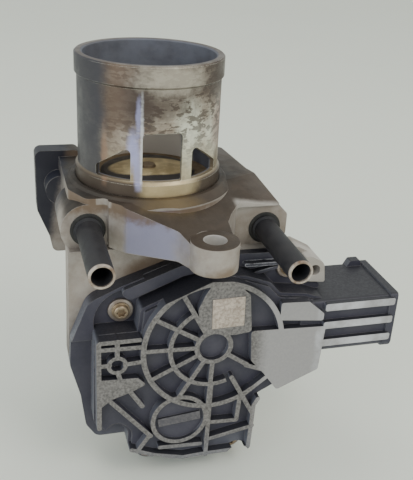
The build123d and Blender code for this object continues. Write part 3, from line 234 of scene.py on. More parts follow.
class Effects:
    """The shader groups that several finishes share, each built once."""

    def __init__(self) -> None:
        """Builds every group."""
        self.grain = self._grain()
        self.wear = self._wear()
        self.band = self._band()
        self.spot = self._spot()
        self.facing = self._facing()

    @staticmethod
    def _grain() -> bpy.types.NodeTree:
        """Cloudy patches, and a height made of fine grain and small cells."""
        group = Group("Surface Grain", ("Vector",), ("Cloud Scale", "Grain Scale"), ("Cloud", "Height"))
        place, fine = group.given["Vector"], group.given["Grain Scale"]
        cloud = group.noise(place, group.given["Cloud Scale"], detail=5.0, rough=0.62)
        grain = group.noise(place, fine, detail=2.0, rough=0.5)
        cells = group.add("ShaderNodeTexVoronoi", {"Vector": place, "Scale": fine}, feature="SMOOTH_F1")
        height = group.math("ADD", group.math("MULTIPLY", grain, GRAIN_SHARE),
                            group.math("MULTIPLY", cells.outputs["Distance"], CELL_SHARE))
        return group.close(Cloud=group.ramp(cloud, low=0.32, high=0.68), Height=height)

    @staticmethod
    def _wear() -> bpy.types.NodeTree:
        """Bare corners, where the rounded normal leaves the true one, broken up by noise."""
        group = Group("Edge Wear", ("Vector",), ("Radius", "Breakup"), ("Mask",))
        rounded = group.add("ShaderNodeBevel", {"Radius": group.given["Radius"]}, samples=6).outputs[0]
        true = group.add("ShaderNodeNewGeometry").outputs["Normal"]
        edge = group.ramp(group.vector("DOT_PRODUCT", rounded, true), low=0.99, high=0.86)
        noise = group.noise(group.given["Vector"], group.given["Breakup"], detail=4.0, rough=0.7)
        return group.close(Mask=group.math("MULTIPLY", edge, group.ramp(noise, low=0.36, high=0.56)))

    @staticmethod
    def _band() -> bpy.types.NodeTree:
        """A zone past a plane, with a ragged border."""
        group = Group("Ragged Band", ("Vector", "Direction"), ("From", "To", "Ragged", "Scale"), ("Mask",))
        along = group.vector("DOT_PRODUCT", group.given["Vector"], group.given["Direction"])
        return group.close(Mask=group.ramp(group.ragged(along), group.given["From"], group.given["To"]))

    @staticmethod
    def _spot() -> bpy.types.NodeTree:
        """A patch round a point, with a ragged border."""
        group = Group("Ragged Spot", ("Vector", "Centre", "Stretch"), ("Inner", "Outer", "Ragged", "Scale"),
                      ("Mask",))
        away = group.vector("SUBTRACT", group.given["Vector"], group.given["Centre"])
        border = group.ragged(group.vector("LENGTH", group.vector("MULTIPLY", away, group.given["Stretch"])))
        return group.close(Mask=group.ramp(border, group.given["Outer"], group.given["Inner"]))

    @staticmethod
    def _facing() -> bpy.types.NodeTree:
        """Faces that look one way, in the piece's own frame."""
        group = Group("Facing", ("Direction",), ("From", "To"), ("Mask",))
        normal = group.add("ShaderNodeTexCoord").outputs["Normal"]
        along = group.vector("DOT_PRODUCT", normal, group.given["Direction"])
        return group.close(Mask=group.ramp(along, group.given["From"], group.given["To"]))


@dataclass(frozen=True)
class Grain:
    """The grain group's results: cloudy patches from 0 to 1, and a height."""

    cloud: Socket
    height: Socket


class Paint(Tree):
    """One material under way: its tree, its Object coordinates and the shared effects."""

    def __init__(self, name: str, effects: Effects) -> None:
        """Starts the material under its finish's name."""
        self.material = bpy.data.materials.new(name)
        self.material.use_nodes = True
        super().__init__(self.material.node_tree)
        self.effects = effects
        self.shader = self.tree.nodes["Principled BSDF"]
        self.coords = self.add("ShaderNodeTexCoord").outputs["Object"]
        self.placed: dict[Zone, Socket] = {}

    def stretched(self, by: Triple) -> Socket:
        """The Object coordinates, stretched along each axis."""
        return self.vector("MULTIPLY", self.coords, by)

    def grain(self, cloud: float, grain: float, stretch: Triple | None = None) -> Grain:
        """Places the grain group.

        Args:
            cloud: the patches' scale, per metre.
            grain: the fine grain's scale, per metre.
            stretch: how the coordinates are stretched along each axis, if at all.

        Returns:
            The group's results.
        """
        coords = self.stretched(stretch) if stretch else self.coords
        node = self.group(self.effects.grain, {"Vector": coords, "Cloud Scale": cloud, "Grain Scale": grain})
        return Grain(node.outputs["Cloud"], node.outputs["Height"])

    def mask(self, *parts: Zone | Socket | float) -> Socket:
        """The product of zones, masks and plain numbers.

        Args:
            parts: what is multiplied. A zone is placed in the tree once, and shared after that.

        Returns:
            The product's socket.
        """
        values = []
        for part in parts:
            if isinstance(part, Zone):
                if part not in self.placed:
                    self.placed[part] = part.place(self)
                part = self.placed[part]
            values.append(part)
        return reduce(lambda a, b: self.math("MULTIPLY", a, b), values)

    def lay(self, under: Socket | Colour, over: Socket | Colour, *parts: Zone | Socket,
            strength: float | None = None) -> Socket:
        """Lays a colour over another where all the parts meet.

        Args:
            under: the colour so far.
            over: the colour that is laid on it.
            parts: the zones and masks that have to meet.
            strength: how much of it shows there, or all of it when not given.

        Returns:
            The new colour.
        """
        return self.mix(self.mask(*parts) if strength is None else self.mask(*parts, strength), under, over)

    def finish(self, colour: Socket, rough: Socket, height: Socket, bump: float,
               metallic: Socket | float = 0.0, specular: float = 0.5) -> bpy.types.Material:
        """Joins the results to the shader.

        Args:
            colour: the base colour.
            rough: the roughness.
            height: the height that the bump follows.
            bump: the bump's strength.
            metallic: the metallic mask, or one number for the whole surface.
            specular: the shader's specular level.

        Returns:
            The finished material.
        """
        soft = self.add("ShaderNodeBevel", {"Radius": SHADED_ROUNDING}, samples=4).outputs[0]
        normal = self.add("ShaderNodeBump", {
            "Strength": bump, "Distance": BUMP_DISTANCE, "Height": height, "Normal": soft}).outputs[0]
        self.feed(self.shader, {"Base Color": colour, "Roughness": rough, "Metallic": metallic,
                                "Specular IOR Level": specular, "Normal": normal})
        return self.material


# ------------------------------------------------------------------ zones of a surface
class Zone:
    """A part of a surface that a finish masks off. Lengths are in mm, scales per metre."""

    def place(self, paint: Paint) -> Socket:
        """Adds the zone's mask to a material.

        Args:
            paint: the material under way.

        Returns:
            The mask's socket.
        """
        raise NotImplementedError


@dataclass(frozen=True)
class Band(Zone):
    """What lies past a plane: it starts at one distance and is full at another."""

    direction: Triple
    start: float
    full: float
    ragged: float
    scale: float

    def place(self, paint: Paint) -> Socket:
        """Adds the band's mask to a material."""
        return paint.group(paint.effects.band, {
            "Vector": paint.coords, "Direction": self.direction, "From": self.start * MM,
            "To": self.full * MM, "Ragged": self.ragged * MM, "Scale": self.scale}).outputs["Mask"]


@dataclass(frozen=True)
class Spot(Zone):
    """A patch round a point: full inside one radius and gone past another."""

    centre: Triple
    inner: float
    outer: float
    ragged: float
    scale: float
    stretch: Triple = (1.0, 1.0, 1.0)

    def place(self, paint: Paint) -> Socket:
        """Adds the spot's mask to a material."""
        return paint.group(paint.effects.spot, {
            "Vector": paint.coords, "Centre": tuple(c * MM for c in self.centre), "Stretch": self.stretch,
            "Inner": self.inner * MM, "Outer": self.outer * MM, "Ragged": self.ragged * MM,
            "Scale": self.scale}).outputs["Mask"]


@dataclass(frozen=True)
class Facing(Zone):
    """The faces that look along a direction, as the cosine between them."""

    direction: Triple
    start: float
    full: float

    def place(self, paint: Paint) -> Socket:
        """Adds the faces' mask to a material."""
        return paint.group(paint.effects.facing, {
            "Direction": self.direction, "From": self.start, "To": self.full}).outputs["Mask"]


@dataclass(frozen=True)
class Wear(Zone):
    """The worn corners, broken up by noise."""

    radius: float
    breakup: float

    def place(self, paint: Paint) -> Socket:
        """Adds the corners' mask to a material."""
        return paint.group(paint.effects.wear, {
            "Vector": paint.coords, "Radius": self.radius * MM, "Breakup": self.breakup}).outputs["Mask"]


@dataclass(frozen=True)
class Outside(Zone):
    """All that isn't where the given zones meet."""

    zones: tuple[Zone, ...]

    def place(self, paint: Paint) -> Socket:
        """Adds the mask to a material, as one less the zones' product."""
        return paint.math("SUBTRACT", 1.0, paint.mask(*self.zones))


@dataclass(frozen=True)
class Layer:
    """A tint laid over one zone."""

    tint: Colour
    strength: float
    zone: Zone


# ------------------------------------------------------------------ finishes
@dataclass(frozen=True)
class CastFinish:
    """Sand cast aluminium, browned by hot exhaust and oil, with machined faces, and painted shade on the
    left side of its back plate.
    """

    pale: Colour = (0.345, 0.30, 0.265)
    dull: Colour = (0.25, 0.215, 0.19)
    stain: Colour = (0.018, 0.015, 0.014)
    deck: Colour = (0.044, 0.035, 0.029)
    gold: Colour = (0.20, 0.14, 0.06)
    rust: Colour = (0.15, 0.095, 0.055)
    # A dark bluish grey: painted shade on the left side of the back plate, and a darkening towards the
    # bottom.
    soot_and_shade: Colour = (0.022, 0.024, 0.038)
    milled: Colour = (0.50, 0.47, 0.44)
    reamed: Colour = (0.46, 0.44, 0.42)
    bluish: Colour = (0.245, 0.245, 0.37)

    corners: Zone = Wear(0.5, 260)
    tube_foot: Zone = Spot((0, 0, -2), 38, 40, 1, 200)
    top: Zone = Facing(UP, 0.35, 0.75)
    high: Zone = Band(UP, -16.5, -13.5, 1, 200)
    deck_front: Zone = Band((0.25, -1, 0), 12, 30, 30, 70)
    deck_right: Zone = Band((1, 0.2, 0), 34, 48, 12, 110)
    burned: Zone = Spot((4, -35, -1), 1, 8, 7, 140, (0.4, 1, 1))
    ear_hole: Zone = Spot((16.3, -53.4, -15), 4.6, 4.9, 0.1, 200, (1, 1, 0.05))

    forward: Zone = Facing((-0.35, -0.93, 0), 0.25, 0.7)
    seat_cone: tuple[Zone, ...] = (Spot((0, 0, -1), 36.6, 37, 0.1, 200), Band(UP, -3.9, -3.4, 0.1, 200))
    arm: tuple[Zone, ...] = (Band(UP, -21.5, -20.5, 1, 200), Band(RIGHT, -17, -14.5, 2.5, 300),
                             Band(LEFT, -9, 1, 9, 130))
    drips: Zone = Band(UP, -9, -4, 9, 240)
    ledge: tuple[Zone, ...] = (Band((0.335, 0, -0.942), 21, 26, 6, 200), Band(UP, -38, -36, 1, 200),
                               Band(RIGHT, -22, -10, 6, 200))
    low: Zone = Band(DOWN, 48, 70, 22, 60)
    left: Zone = Band((-1, 0.12, 0.2), 33, 39, 7, 120)
    behind: Zone = Band(BACK, -16, -8, 5, 120)
    right_boss: tuple[Zone, ...] = (Band(RIGHT, 31, 34, 1.5, 200), Band(FRONT, 22, 26, 3, 200))

    def material(self, effects: Effects) -> bpy.types.Material:
        """Builds the finish."""
        paint = Paint("Cast Aluminium", effects)
        skin = paint.grain(55, 1500)
        blotch = paint.grain(170, 4200)
        colour = paint.mix(skin.cloud, self.dull, self.pale)
        colour = paint.lay(colour, self.milled, blotch.cloud, strength=0.35)
        colour = self._deck(paint, colour, blotch.cloud)
        colour = self._sides(paint, colour)
        colour = paint.lay(colour, self.milled, self.corners, Outside((self.tube_foot,)), strength=0.5)
        height = paint.math("ADD", skin.height, paint.math("MULTIPLY", blotch.height, 0.4))
        rough = paint.spread(skin.cloud, 0.62, 0.46)
        return paint.finish(colour, rough, height, bump=0.35, metallic=0.2, specular=0.28)

    def _deck(self, paint: Paint, colour: Socket, blotch: Socket) -> Socket:
        """Browns the deck's top, with gold where the foot burned it and bare metal in the ear's hole."""
        brown = paint.mix(blotch, self.deck, self.stain)
        brown = paint.lay(brown, self.rust, self.deck_front, strength=0.18)
        colour = paint.lay(colour, brown, self.top, self.high, strength=0.96)
        colour = paint.lay(colour, self.gold, self.top, self.burned, strength=0.55)
        colour = paint.lay(colour, self.dull, self.top, self.high, self.deck_right, strength=0.22)
        return paint.lay(colour, self.reamed, self.ear_hole, strength=0.9)

    def _sides(self, paint: Paint, colour: Socket) -> Socket:
        """Tints the arm's side, lets oil run down the front, darkens the housing towards the bottom, and
        paints shade on the left side of the back plate.
        """
        front = paint.mask(self.forward, Outside(self.seat_cone))
        colour = paint.lay(colour, self.bluish, front, *self.arm, strength=0.85)
        colour = paint.lay(colour, self.rust, front, self.drips, strength=0.8)
        colour = paint.lay(colour, self.rust, front, *self.ledge, strength=0.75)
        # Darker towards the bottom.
        colour = paint.lay(colour, self.soot_and_shade, self.low, strength=0.35)
        # Painted shade: the left side of the back plate darkened to a bluish grey.
        colour = paint.lay(colour, self.soot_and_shade, self.left, self.behind, strength=0.95)
        return paint.lay(colour, self.milled, *self.right_boss, strength=0.75)


@dataclass(frozen=True)
class TubeFinish:
    """Turned steel tube with a sooty mouth and temper colours down its side, painted highlights and a
    painted sheen on its front, and painted shade down its left side and at the foot's sides.
    """

    steel: Colour = (0.62, 0.565, 0.485)
    # The pale colour below paints highlights on the tube's front, and lightens its worn corners.
    bright: Colour = (0.80, 0.81, 0.70)
    brown: Colour = (0.165, 0.112, 0.080)
    dark: Colour = (0.070, 0.052, 0.046)
    gold: Colour = (0.60, 0.47, 0.26)
    # The copper colour below paints one of the upright highlight lines.
    copper: Colour = (0.36, 0.22, 0.15)
    highlight_violet: Colour = (0.42, 0.43, 0.72)
    highlight_white: Colour = (0.86, 0.88, 0.94)
    pink: Colour = (0.36, 0.24, 0.21)
    # The grey-blue below paints shade down the tube's left side, and mottles the bore darker.
    soot_and_shade: Colour = (0.060, 0.062, 0.078)
    inner: Colour = (0.150, 0.162, 0.205)
    lit: Colour = (0.90, 0.82, 0.73)

    turning: Triple = (1.0, 1.0, 14.0)
    smearing: Triple = (1.0, 1.0, 2.4)
    bore: Pair = (28.6, 27.7)
    corners: tuple[Zone, ...] = (Wear(0.45, 400), Band((0.1, -1, 0), 8, 20, 6, 100))
    upper: Zone = Band(UP, 4, 34, 12, 110)
    lip: tuple[Zone, ...] = (Facing(UP, 0.7, 0.9), Band(UP, 51, 51.8, 0.2, 200))
    lit_wall: tuple[Zone, ...] = (Band((0, 1, -0.35), 12, 18, 3, 140), Band(DOWN, -16, -12, 3, 140))

    # Temper colours, with two painted highlights: the pale spots on the front and on the right.
    tints_and_highlights: tuple[Layer, ...] = (
        Layer(bright, 0.85, Spot((11, -28, 24), 3, 8, 7, 190, (1, 0.6, 0.26))),
        Layer(bright, 0.6, Spot((22, -20, 21), 3, 8, 8, 190, (1, 0.8, 0.4))),
        Layer(gold, 0.55, Band(DOWN, -24, -6, 14, 90)),
        Layer(pink, 0.7, Spot((26, -15, 27), 3, 8, 6, 170, (1, 0.7, 0.5))))
    # Painted highlights: narrow upright lines in lilac, whitish and copper tones down the tube's front,
    # between the foot and the collar.
    highlight_ends: tuple[Zone, ...] = (Band(DOWN, -44, -41, 1.5, 300), Band(UP, 1.5, 4, 1.5, 300))
    highlight_streaks: tuple[Layer, ...] = (
        Layer(highlight_violet, 0.8, Spot((-11.6, -27.6, 19), 1.0, 3.4, 1.2, 420, (1, 0.5, 0.30))),
        Layer(highlight_violet, 0.6, Spot((-9.6, -28.4, 32), 0.4, 1.6, 1.2, 420, (1, 0.5, 0.14))),
        Layer(highlight_violet, 0.7, Spot((-9.6, -28.4, 9), 0.8, 2.2, 1.2, 420, (1, 0.5, 0.16))),
        Layer(highlight_white, 0.6, Spot((-8.3, -28.8, 19), 0.1, 1.0, 1.2, 420, (1, 0.5, 0.03))),
        Layer(copper, 0.6, Spot((-21.8, -20.6, 13), 0.5, 1.9, 1.2, 420, (1, 0.5, 0.10))))
    # Sooty patches, with a painted sheen and painted shade laid among them.
    soot_shade_and_sheen: tuple[Layer, ...] = (
        Layer(brown, 0.35, Band(UP, 24, 44, 18, 110)),
        Layer(dark, 0.55, Band(UP, 38.5, 43, 9, 170)),
        Layer(dark, 0.72, Spot((-7, -29, 38), 3, 10, 9, 240, (0.32, 0.6, 1))),
        Layer(dark, 0.72, Spot((-15, -25, 36), 6, 13, 9, 240, (0.8, 0.6, 1))),
        Layer(dark, 0.72, Spot((24, -18, 44), 4, 11, 9, 240, (0.7, 0.6, 1))),
        Layer(dark, 0.5, Spot((27, -12, 9), 3, 9, 9, 240, (0.8, 0.6, 1))),
        # Painted sheen: the collar's front middle lightened back to steel.
        Layer(steel, 0.55, Spot((4, -30, 47), 2, 9, 8, 300, (0.4, 1, 1))),
        # Painted shade down the tube's left side: brown at first, grey-blue at the edge.
        Layer(brown, 0.55, Band((-1, -0.12, 0), 13, 21, 6, 110)),
        Layer(soot_and_shade, 0.9, Band((-1, -0.12, 0), 22, 26.5, 3, 110)),
        Layer(dark, 0.6, Band((1, -0.1, 0.3), 37, 41, 5, 170)))
    foot: Zone = Band(DOWN, -6.6, -5.2, 0.5, 200)
    foot_left: Zone = Band(LEFT, 5, 12, 6, 110)
    foot_right: Zone = Band(RIGHT, 10, 18, 6, 110)

    def material(self, effects: Effects) -> bpy.types.Material:
        """Builds the finish."""
        paint = Paint("Tinted Tube Steel", effects)
        lines = paint.grain(110, 700, self.turning)
        cloud = paint.grain(85, 2600)
        colour = paint.mix(cloud.cloud, self.brown, self.steel)
        colour = paint.lay(colour, self.steel, lines.cloud, strength=0.5)
        for layer in self.tints_and_highlights:
            colour = paint.lay(colour, layer.tint, layer.zone, strength=layer.strength)
        colour = paint.lay(colour, self.brown, paint.grain(330, 3000).cloud, strength=0.30)
        patches = paint.ramp(paint.grain(210, 1400, self.smearing).cloud, low=0.50, high=0.66)
        colour = paint.lay(colour, self.dark, patches, self.upper, strength=0.78)
        colour = self._wall(paint, colour)
        return self._bore(paint, colour, cloud.cloud, lines.height)

    def _wall(self, paint: Paint, colour: Socket) -> Socket:
        """Soots the collar, paints a sheen on its front, paints shade down the left side and at the foot's
        sides, tints the foot gold, draws narrow upright painted highlights, and lightens the worn corners.
        """
        for layer in self.soot_shade_and_sheen:
            colour = paint.lay(colour, layer.tint, layer.zone, strength=layer.strength)
        colour = paint.lay(colour, self.gold, self.foot, strength=0.6)
        # Painted shade: the foot darkened at its left and right sides.
        sides = paint.math("MAXIMUM", paint.mask(self.foot_left), paint.mask(self.foot_right))
        colour = paint.lay(colour, self.dark, self.foot, sides, strength=0.93)
        # Painted highlights: the narrow upright lines.
        ends = paint.mask(*self.highlight_ends)
        for highlight in self.highlight_streaks:
            colour = paint.lay(colour, highlight.tint, highlight.zone, ends, strength=highlight.strength)
        return paint.lay(colour, self.bright, *self.corners, strength=0.7)

    def _bore(self, paint: Paint, colour: Socket, cloud: Socket, height: Socket) -> bpy.types.Material:
        """Soots the lip, darkens the bore to a bluish grey mottled darker, lights the bore's far wall, and
        joins up the finish.
        """
        radius = paint.vector("LENGTH", paint.stretched((1.0, 1.0, 0.0)))
        bore = paint.ramp(radius, *(r * MM for r in self.bore))
        colour = paint.lay(colour, self.dark, *self.lip, strength=0.85)
        inner = paint.lay(self.inner, self.soot_and_shade, cloud, strength=0.6)
        colour = paint.lay(colour, inner, bore, strength=0.9)
        colour = paint.lay(colour, self.lit, bore, *self.lit_wall, strength=0.85)
        rough = paint.math("ADD", paint.spread(cloud, 0.50, 0.34), paint.math("MULTIPLY", bore, 0.25))
        dull = paint.math("MAXIMUM", bore, paint.mask(*self.lip, 0.8))
        return paint.finish(colour, rough, height, bump=0.22, metallic=paint.spread(dull, 0.65, 0.1))


@dataclass(frozen=True)
class SteelFinish:
    """Machined or ground metal with fine tool marks and darker stains."""

    name: str
    bright: Colour
    dull: Colour
    shine: float
    lines: Triple
    metallic: float = 0.85
    stained: float = 0.14
    rubbing: float = 1.5
    corners: Zone = Wear(0.3, 500)

    def material(self, effects: Effects) -> bpy.types.Material:
        """Builds the finish."""
        paint = Paint(self.name, effects)
        marks = paint.grain(220, 1600, self.lines)
        cloud = paint.grain(150, 3600).cloud
        rubbed = tuple(min(1.0, c * self.rubbing) for c in self.bright)
        colour = paint.mix(cloud, self.dull, self.bright)
        colour = paint.lay(colour, self.bright, marks.cloud, strength=0.35)
        colour = paint.lay(colour, rubbed, self.corners, strength=0.6)
        rough = paint.spread(cloud, self.shine + self.stained, self.shine)
        return paint.finish(colour, rough, marks.height, bump=0.18, metallic=self.metallic)


@dataclass(frozen=True)
class DiscFinish:
    """Valve steel burned gold in the middle, also lit there as painted light, with a sooty rim that is also
    darkened as painted shade.
    """

    gold: Colour = (0.80, 0.64, 0.36)
    amber: Colour = (0.46, 0.34, 0.17)
    # The dark rim colour below is sooty, and painted shade as well.
    soot_and_shade: Colour = (0.050, 0.042, 0.038)
    corners: Zone = Wear(0.4, 300)
    middle: Zone = Spot((1.5, 0.5, 2), 17, 19.5, 3, 200, (1, 1.6, 0.05))

    def material(self, effects: Effects) -> bpy.types.Material:
        """Builds the finish."""
        paint = Paint("Burned Disc Steel", effects)
        skin = paint.grain(160, 2200)
        burned = paint.mix(skin.cloud, self.gold, self.amber)
        # Painted shade on the dark rim and painted light on the gold middle, over the burn and the sooty
        # rim.
        rim = paint.lay(self.soot_and_shade, self.amber, self.corners)
        colour = paint.lay(rim, burned, self.middle)
        return paint.finish(colour, paint.spread(skin.cloud, 0.5, 0.38), skin.height, bump=0.3, metallic=0.3)


@dataclass(frozen=True)
class PipeFinish:
    """Matt black coated pipe with bare, slightly rusty ends."""

    coat: Colour = (0.016, 0.016, 0.021)
    dusty: Colour = (0.052, 0.050, 0.052)
    bare: Colour = (0.62, 0.56, 0.50)
    rust: Colour = (0.20, 0.13, 0.09)
    corners: Zone = Wear(0.5, 300)
    tip: Zone = Band(FRONT, 66.3, 66.9, 0.5, 500)

    def material(self, effects: Effects) -> bpy.types.Material:
        """Builds the finish."""
        paint = Paint("Coated Pipe", effects)
        skin = paint.grain(160, 2400)
        colour = paint.lay(self.coat, self.dusty, skin.cloud, strength=0.5)
        colour = paint.lay(colour, self.dusty, self.corners, strength=0.5)
        colour = paint.lay(colour, paint.mix(skin.cloud, self.rust, self.bare), self.tip)
        return paint.finish(colour, paint.spread(skin.cloud, 0.5, 0.66), skin.height, bump=0.22,
                            metallic=paint.mask(self.tip, 0.7), specular=0.3)


@dataclass(frozen=True)
class MouldedFinish:
    """Glass filled plastic, nearly black between the ribs and rubbed grey on their tops, with pale worn
    corners that also serve as painted edge highlights, and painted glints beside the ear.
    """

    deep: Colour = (0.040, 0.039, 0.060)
    dusty: Colour = (0.076, 0.072, 0.093)
    rubbed: Colour = (0.105, 0.098, 0.095)
    pale: Colour = (0.245, 0.230, 0.222)
    cool: Colour = (0.36, 0.35, 0.36)
    # The pale colour below tints the connector's rails, and paints glints on the edges beside the ear.
    rail_and_glint: Colour = (0.60, 0.61, 0.66)
    glint: Colour = (0.19, 0.20, 0.24)
    shade: Colour = (0.024, 0.024, 0.031)

    corners: Zone = Wear(0.45, 330)
    leftward: Zone = Facing(LEFT, 0.4, 0.8)
    upward: Zone = Facing(UP, 0.5, 0.9)
    # Painted glints: pale strips on the edges beside the ear.
    glint_bars: tuple[Zone, ...] = (Wear(0.9, 300), Spot((42, -39, -30), 6, 8.5, 0.5, 200, (1, 0.3, 2.2)))
    tops: tuple[Zone, ...] = (Band(FRONT, 47.2, 47.9, 0.2, 400), Facing(FRONT, 0.5, 0.9))
    right: Zone = Band(RIGHT, 38, 46, 3, 200)
    rails: Zone = Band(RIGHT, 66, 68, 1, 200)
    low: Zone = Band(DOWN, 104, 122, 8, 120)

    def material(self, effects: Effects) -> bpy.types.Material:
        """Builds the finish."""
        paint = Paint("Glass Filled Plastic", effects)
        skin = paint.grain(75, 2600)
        speck = paint.grain(900, 6000)
        colour = paint.lay(self.deep, self.dusty, skin.cloud, strength=0.5)
        colour = paint.lay(colour, self.glint, self.leftward, strength=0.45)
        colour = self._tops(paint, colour, speck.cloud, skin.cloud)
        # Pale worn corners, which also stand in for painted edge highlights.
        colour = paint.lay(colour, self.pale, self.corners, strength=0.55)
        colour = paint.lay(colour, self.shade, self.upward, strength=0.9)
        # Painted glints on the edges beside the ear.
        colour = paint.lay(colour, self.rail_and_glint, *self.glint_bars, strength=0.9)
        height = paint.math("ADD", paint.math("MULTIPLY", skin.height, 0.5), speck.height)
        return paint.finish(colour, paint.spread(speck.cloud, 0.42, 0.58), height, bump=0.22, specular=0.4)

    def _tops(self, paint: Paint, colour: Socket, speck: Socket, skin: Socket) -> Socket:
        """Rubs the ribs' and pads' front faces grey, palest at the right and on the connector's rails."""
        tops = paint.mask(*self.tops)
        grey = paint.mix(speck, self.rubbed, self.pale)
        colour = paint.lay(colour, grey, tops, strength=0.88)
        colour = paint.lay(colour, self.cool, tops, self.right, strength=0.75)
        colour = paint.lay(colour, self.rail_and_glint, tops, self.rails, skin, strength=0.8)
        return paint.lay(colour, self.glint, self.low, strength=0.4)


@dataclass(frozen=True)
class MattFinish:
    """Rubber, board, ferrite and other plain matt stuff, dusty and slightly mottled."""

    name: str
    body: Colour
    dust: Colour
    rough: float
    scale: float = 240.0
    fineness: float = 12.0
    smoother: float = 0.08
    rougher: float = 0.1
    corners: Zone = Wear(0.3, 500)

    def material(self, effects: Effects) -> bpy.types.Material:
        """Builds the finish."""
        paint = Paint(self.name, effects)
        skin = paint.grain(self.scale, self.scale * self.fineness)
        colour = paint.lay(self.body, self.dust, skin.cloud, strength=0.6)
        colour = paint.lay(colour, self.dust, self.corners, strength=0.4)
        rough = paint.spread(skin.cloud, self.rough - self.smoother, self.rough + self.rougher)
        return paint.finish(colour, rough, skin.height, bump=0.2)


@dataclass(frozen=True)
class LabelFinish:
    """A bare pale label, printed with nothing, mottled by dirt."""

    paper: Colour = (0.56, 0.48, 0.41)
    dirt: Colour = (0.20, 0.15, 0.12)
    corners: Zone = Wear(0.4, 700)

    def material(self, effects: Effects) -> bpy.types.Material:
        """Builds the finish."""
        paint = Paint("Bare Label", effects)
        dirt = paint.grain(900, 3000)
        colour = paint.lay(self.paper, self.dirt, dirt.cloud, strength=0.7)
        colour = paint.lay(colour, self.paper, self.corners, strength=0.5)
        return paint.finish(colour, paint.spread(dirt.cloud, 0.45, 0.7), dirt.height, bump=0.15)


@dataclass(frozen=True)
class FloorFinish:
    """A plain pale floor."""

    pale: Colour = (0.83, 0.86, 0.79)
    grey: Colour = (0.5, 0.5, 0.5)

    def material(self, effects: Effects) -> bpy.types.Material:
        """Builds the finish."""
        paint = Paint("Pale Floor", effects)
        skin = paint.grain(3, 160)
        colour = paint.lay(self.pale, self.grey, skin.cloud, strength=0.03)
        return paint.finish(colour, paint.spread(skin.cloud, 0.85, 0.95), skin.height, bump=0.02)


# ------------------------------------------------------------------ modelling by hand
class Bench:
    """Mesh work with Blender's own operators, one piece at a time."""

    @staticmethod
    def clear() -> None:
        """Leaves edit mode and deselects everything."""
        if bpy.context.object and bpy.context.object.mode != "OBJECT":
            bpy.ops.object.mode_set(mode="OBJECT")
        bpy.ops.object.select_all(action="DESELECT")

    @classmethod
    def start(cls, name: str, add: Callable[..., object], **size: object) -> bpy.types.Object:
        """Adds a primitive by itself and opens it for editing.

        Args:
            name: the new piece's name.
            add: the primitive operator.
            size: the operator's own sizes and place, in metres.

        Returns:
            The new object, in edit mode with nothing selected.
        """
        cls.clear()
        add(**size)
        piece = bpy.context.object
        piece.name = name
        piece.data.name = name
        bpy.ops.object.transform_apply(location=False, rotation=False, scale=True)
        bpy.ops.object.mode_set(mode="EDIT")
        bpy.ops.mesh.select_all(action="DESELECT")
        return piece

    @staticmethod
    def pick(piece: bpy.types.Object, *directions: Triple) -> None:
        """Selects the faces that look along any of some directions, in edit mode.

        Args:
            piece: the object being edited.
            directions: directions in the piece's own axes.
        """
        bpy.ops.mesh.select_mode(type="FACE")
        mesh = bmesh.from_edit_mesh(piece.data)
        for face in mesh.faces:
            face.select_set(any(face.normal.dot(Vector(way)) > SQUARE for way in directions))
        bmesh.update_edit_mesh(piece.data)

    @staticmethod
    def inset(thickness: float) -> None:
        """Insets the picked faces, by a width in mm."""
        bpy.ops.mesh.inset(thickness=thickness * MM, depth=0.0)

    @staticmethod
    def push(along_y: float) -> None:
        """Extrudes the picked faces along the y axis, by a length in mm."""
        bpy.ops.mesh.extrude_region_move(TRANSFORM_OT_translate={"value": (0, along_y * MM, 0)})

    @classmethod
    def close(cls, piece: bpy.types.Object, bevel: float = 0.0, segments: int = 2) -> None:
        """Finishes a piece: outward normals, its place put in its mesh, bevel and smooth shading.

        Args:
            piece: the edited object.
            bevel: width of the bevelled corners, in mm.
            segments: steps across each bevel.
        """
        bpy.ops.mesh.select_all(action="SELECT")
        bpy.ops.mesh.remove_doubles(threshold=MERGE)
        bpy.ops.mesh.normals_make_consistent(inside=False)
        bpy.ops.object.mode_set(mode="OBJECT")
        piece.select_set(True)
        bpy.context.view_layer.objects.active = piece
        bpy.ops.object.transform_apply(location=True, rotation=True, scale=True)
        if bevel > 0:
            modifier = piece.modifiers.new("Corners", "BEVEL")
            modifier.width = bevel * MM
            modifier.segments = segments
            modifier.limit_method = "ANGLE"
            modifier.angle_limit = math.radians(BEVEL_ANGLE)
            bpy.ops.object.modifier_apply(modifier=modifier.name)
        bpy.ops.object.shade_smooth_by_angle(angle=math.radians(SMOOTH_ANGLE))
        cls.clear()

    @staticmethod
    def copy(piece: bpy.types.Object, name: str, move: Vector) -> bpy.types.Object:
        """Copies a finished piece to another place, with its own mesh."""
        twin = piece.copy()
        twin.data = piece.data.copy()
        twin.name = name
        twin.data.name = name
        twin.data.transform(Matrix.Translation(move))
        bpy.context.scene.collection.objects.link(twin)
        return twin


def dress(piece: bpy.types.Object, material: bpy.types.Material, body: Body) -> None:
    """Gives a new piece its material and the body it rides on.

    Args:
        piece: the finished piece.
        material: its material.
        body: the body that carries it.
    """
    piece.data.materials.clear()
    piece.data.materials.append(material)
    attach(piece, body.value)
    LOG.info("piece %s: %d faces, rides on %s", piece.name, len(piece.data.polygons), body.value)


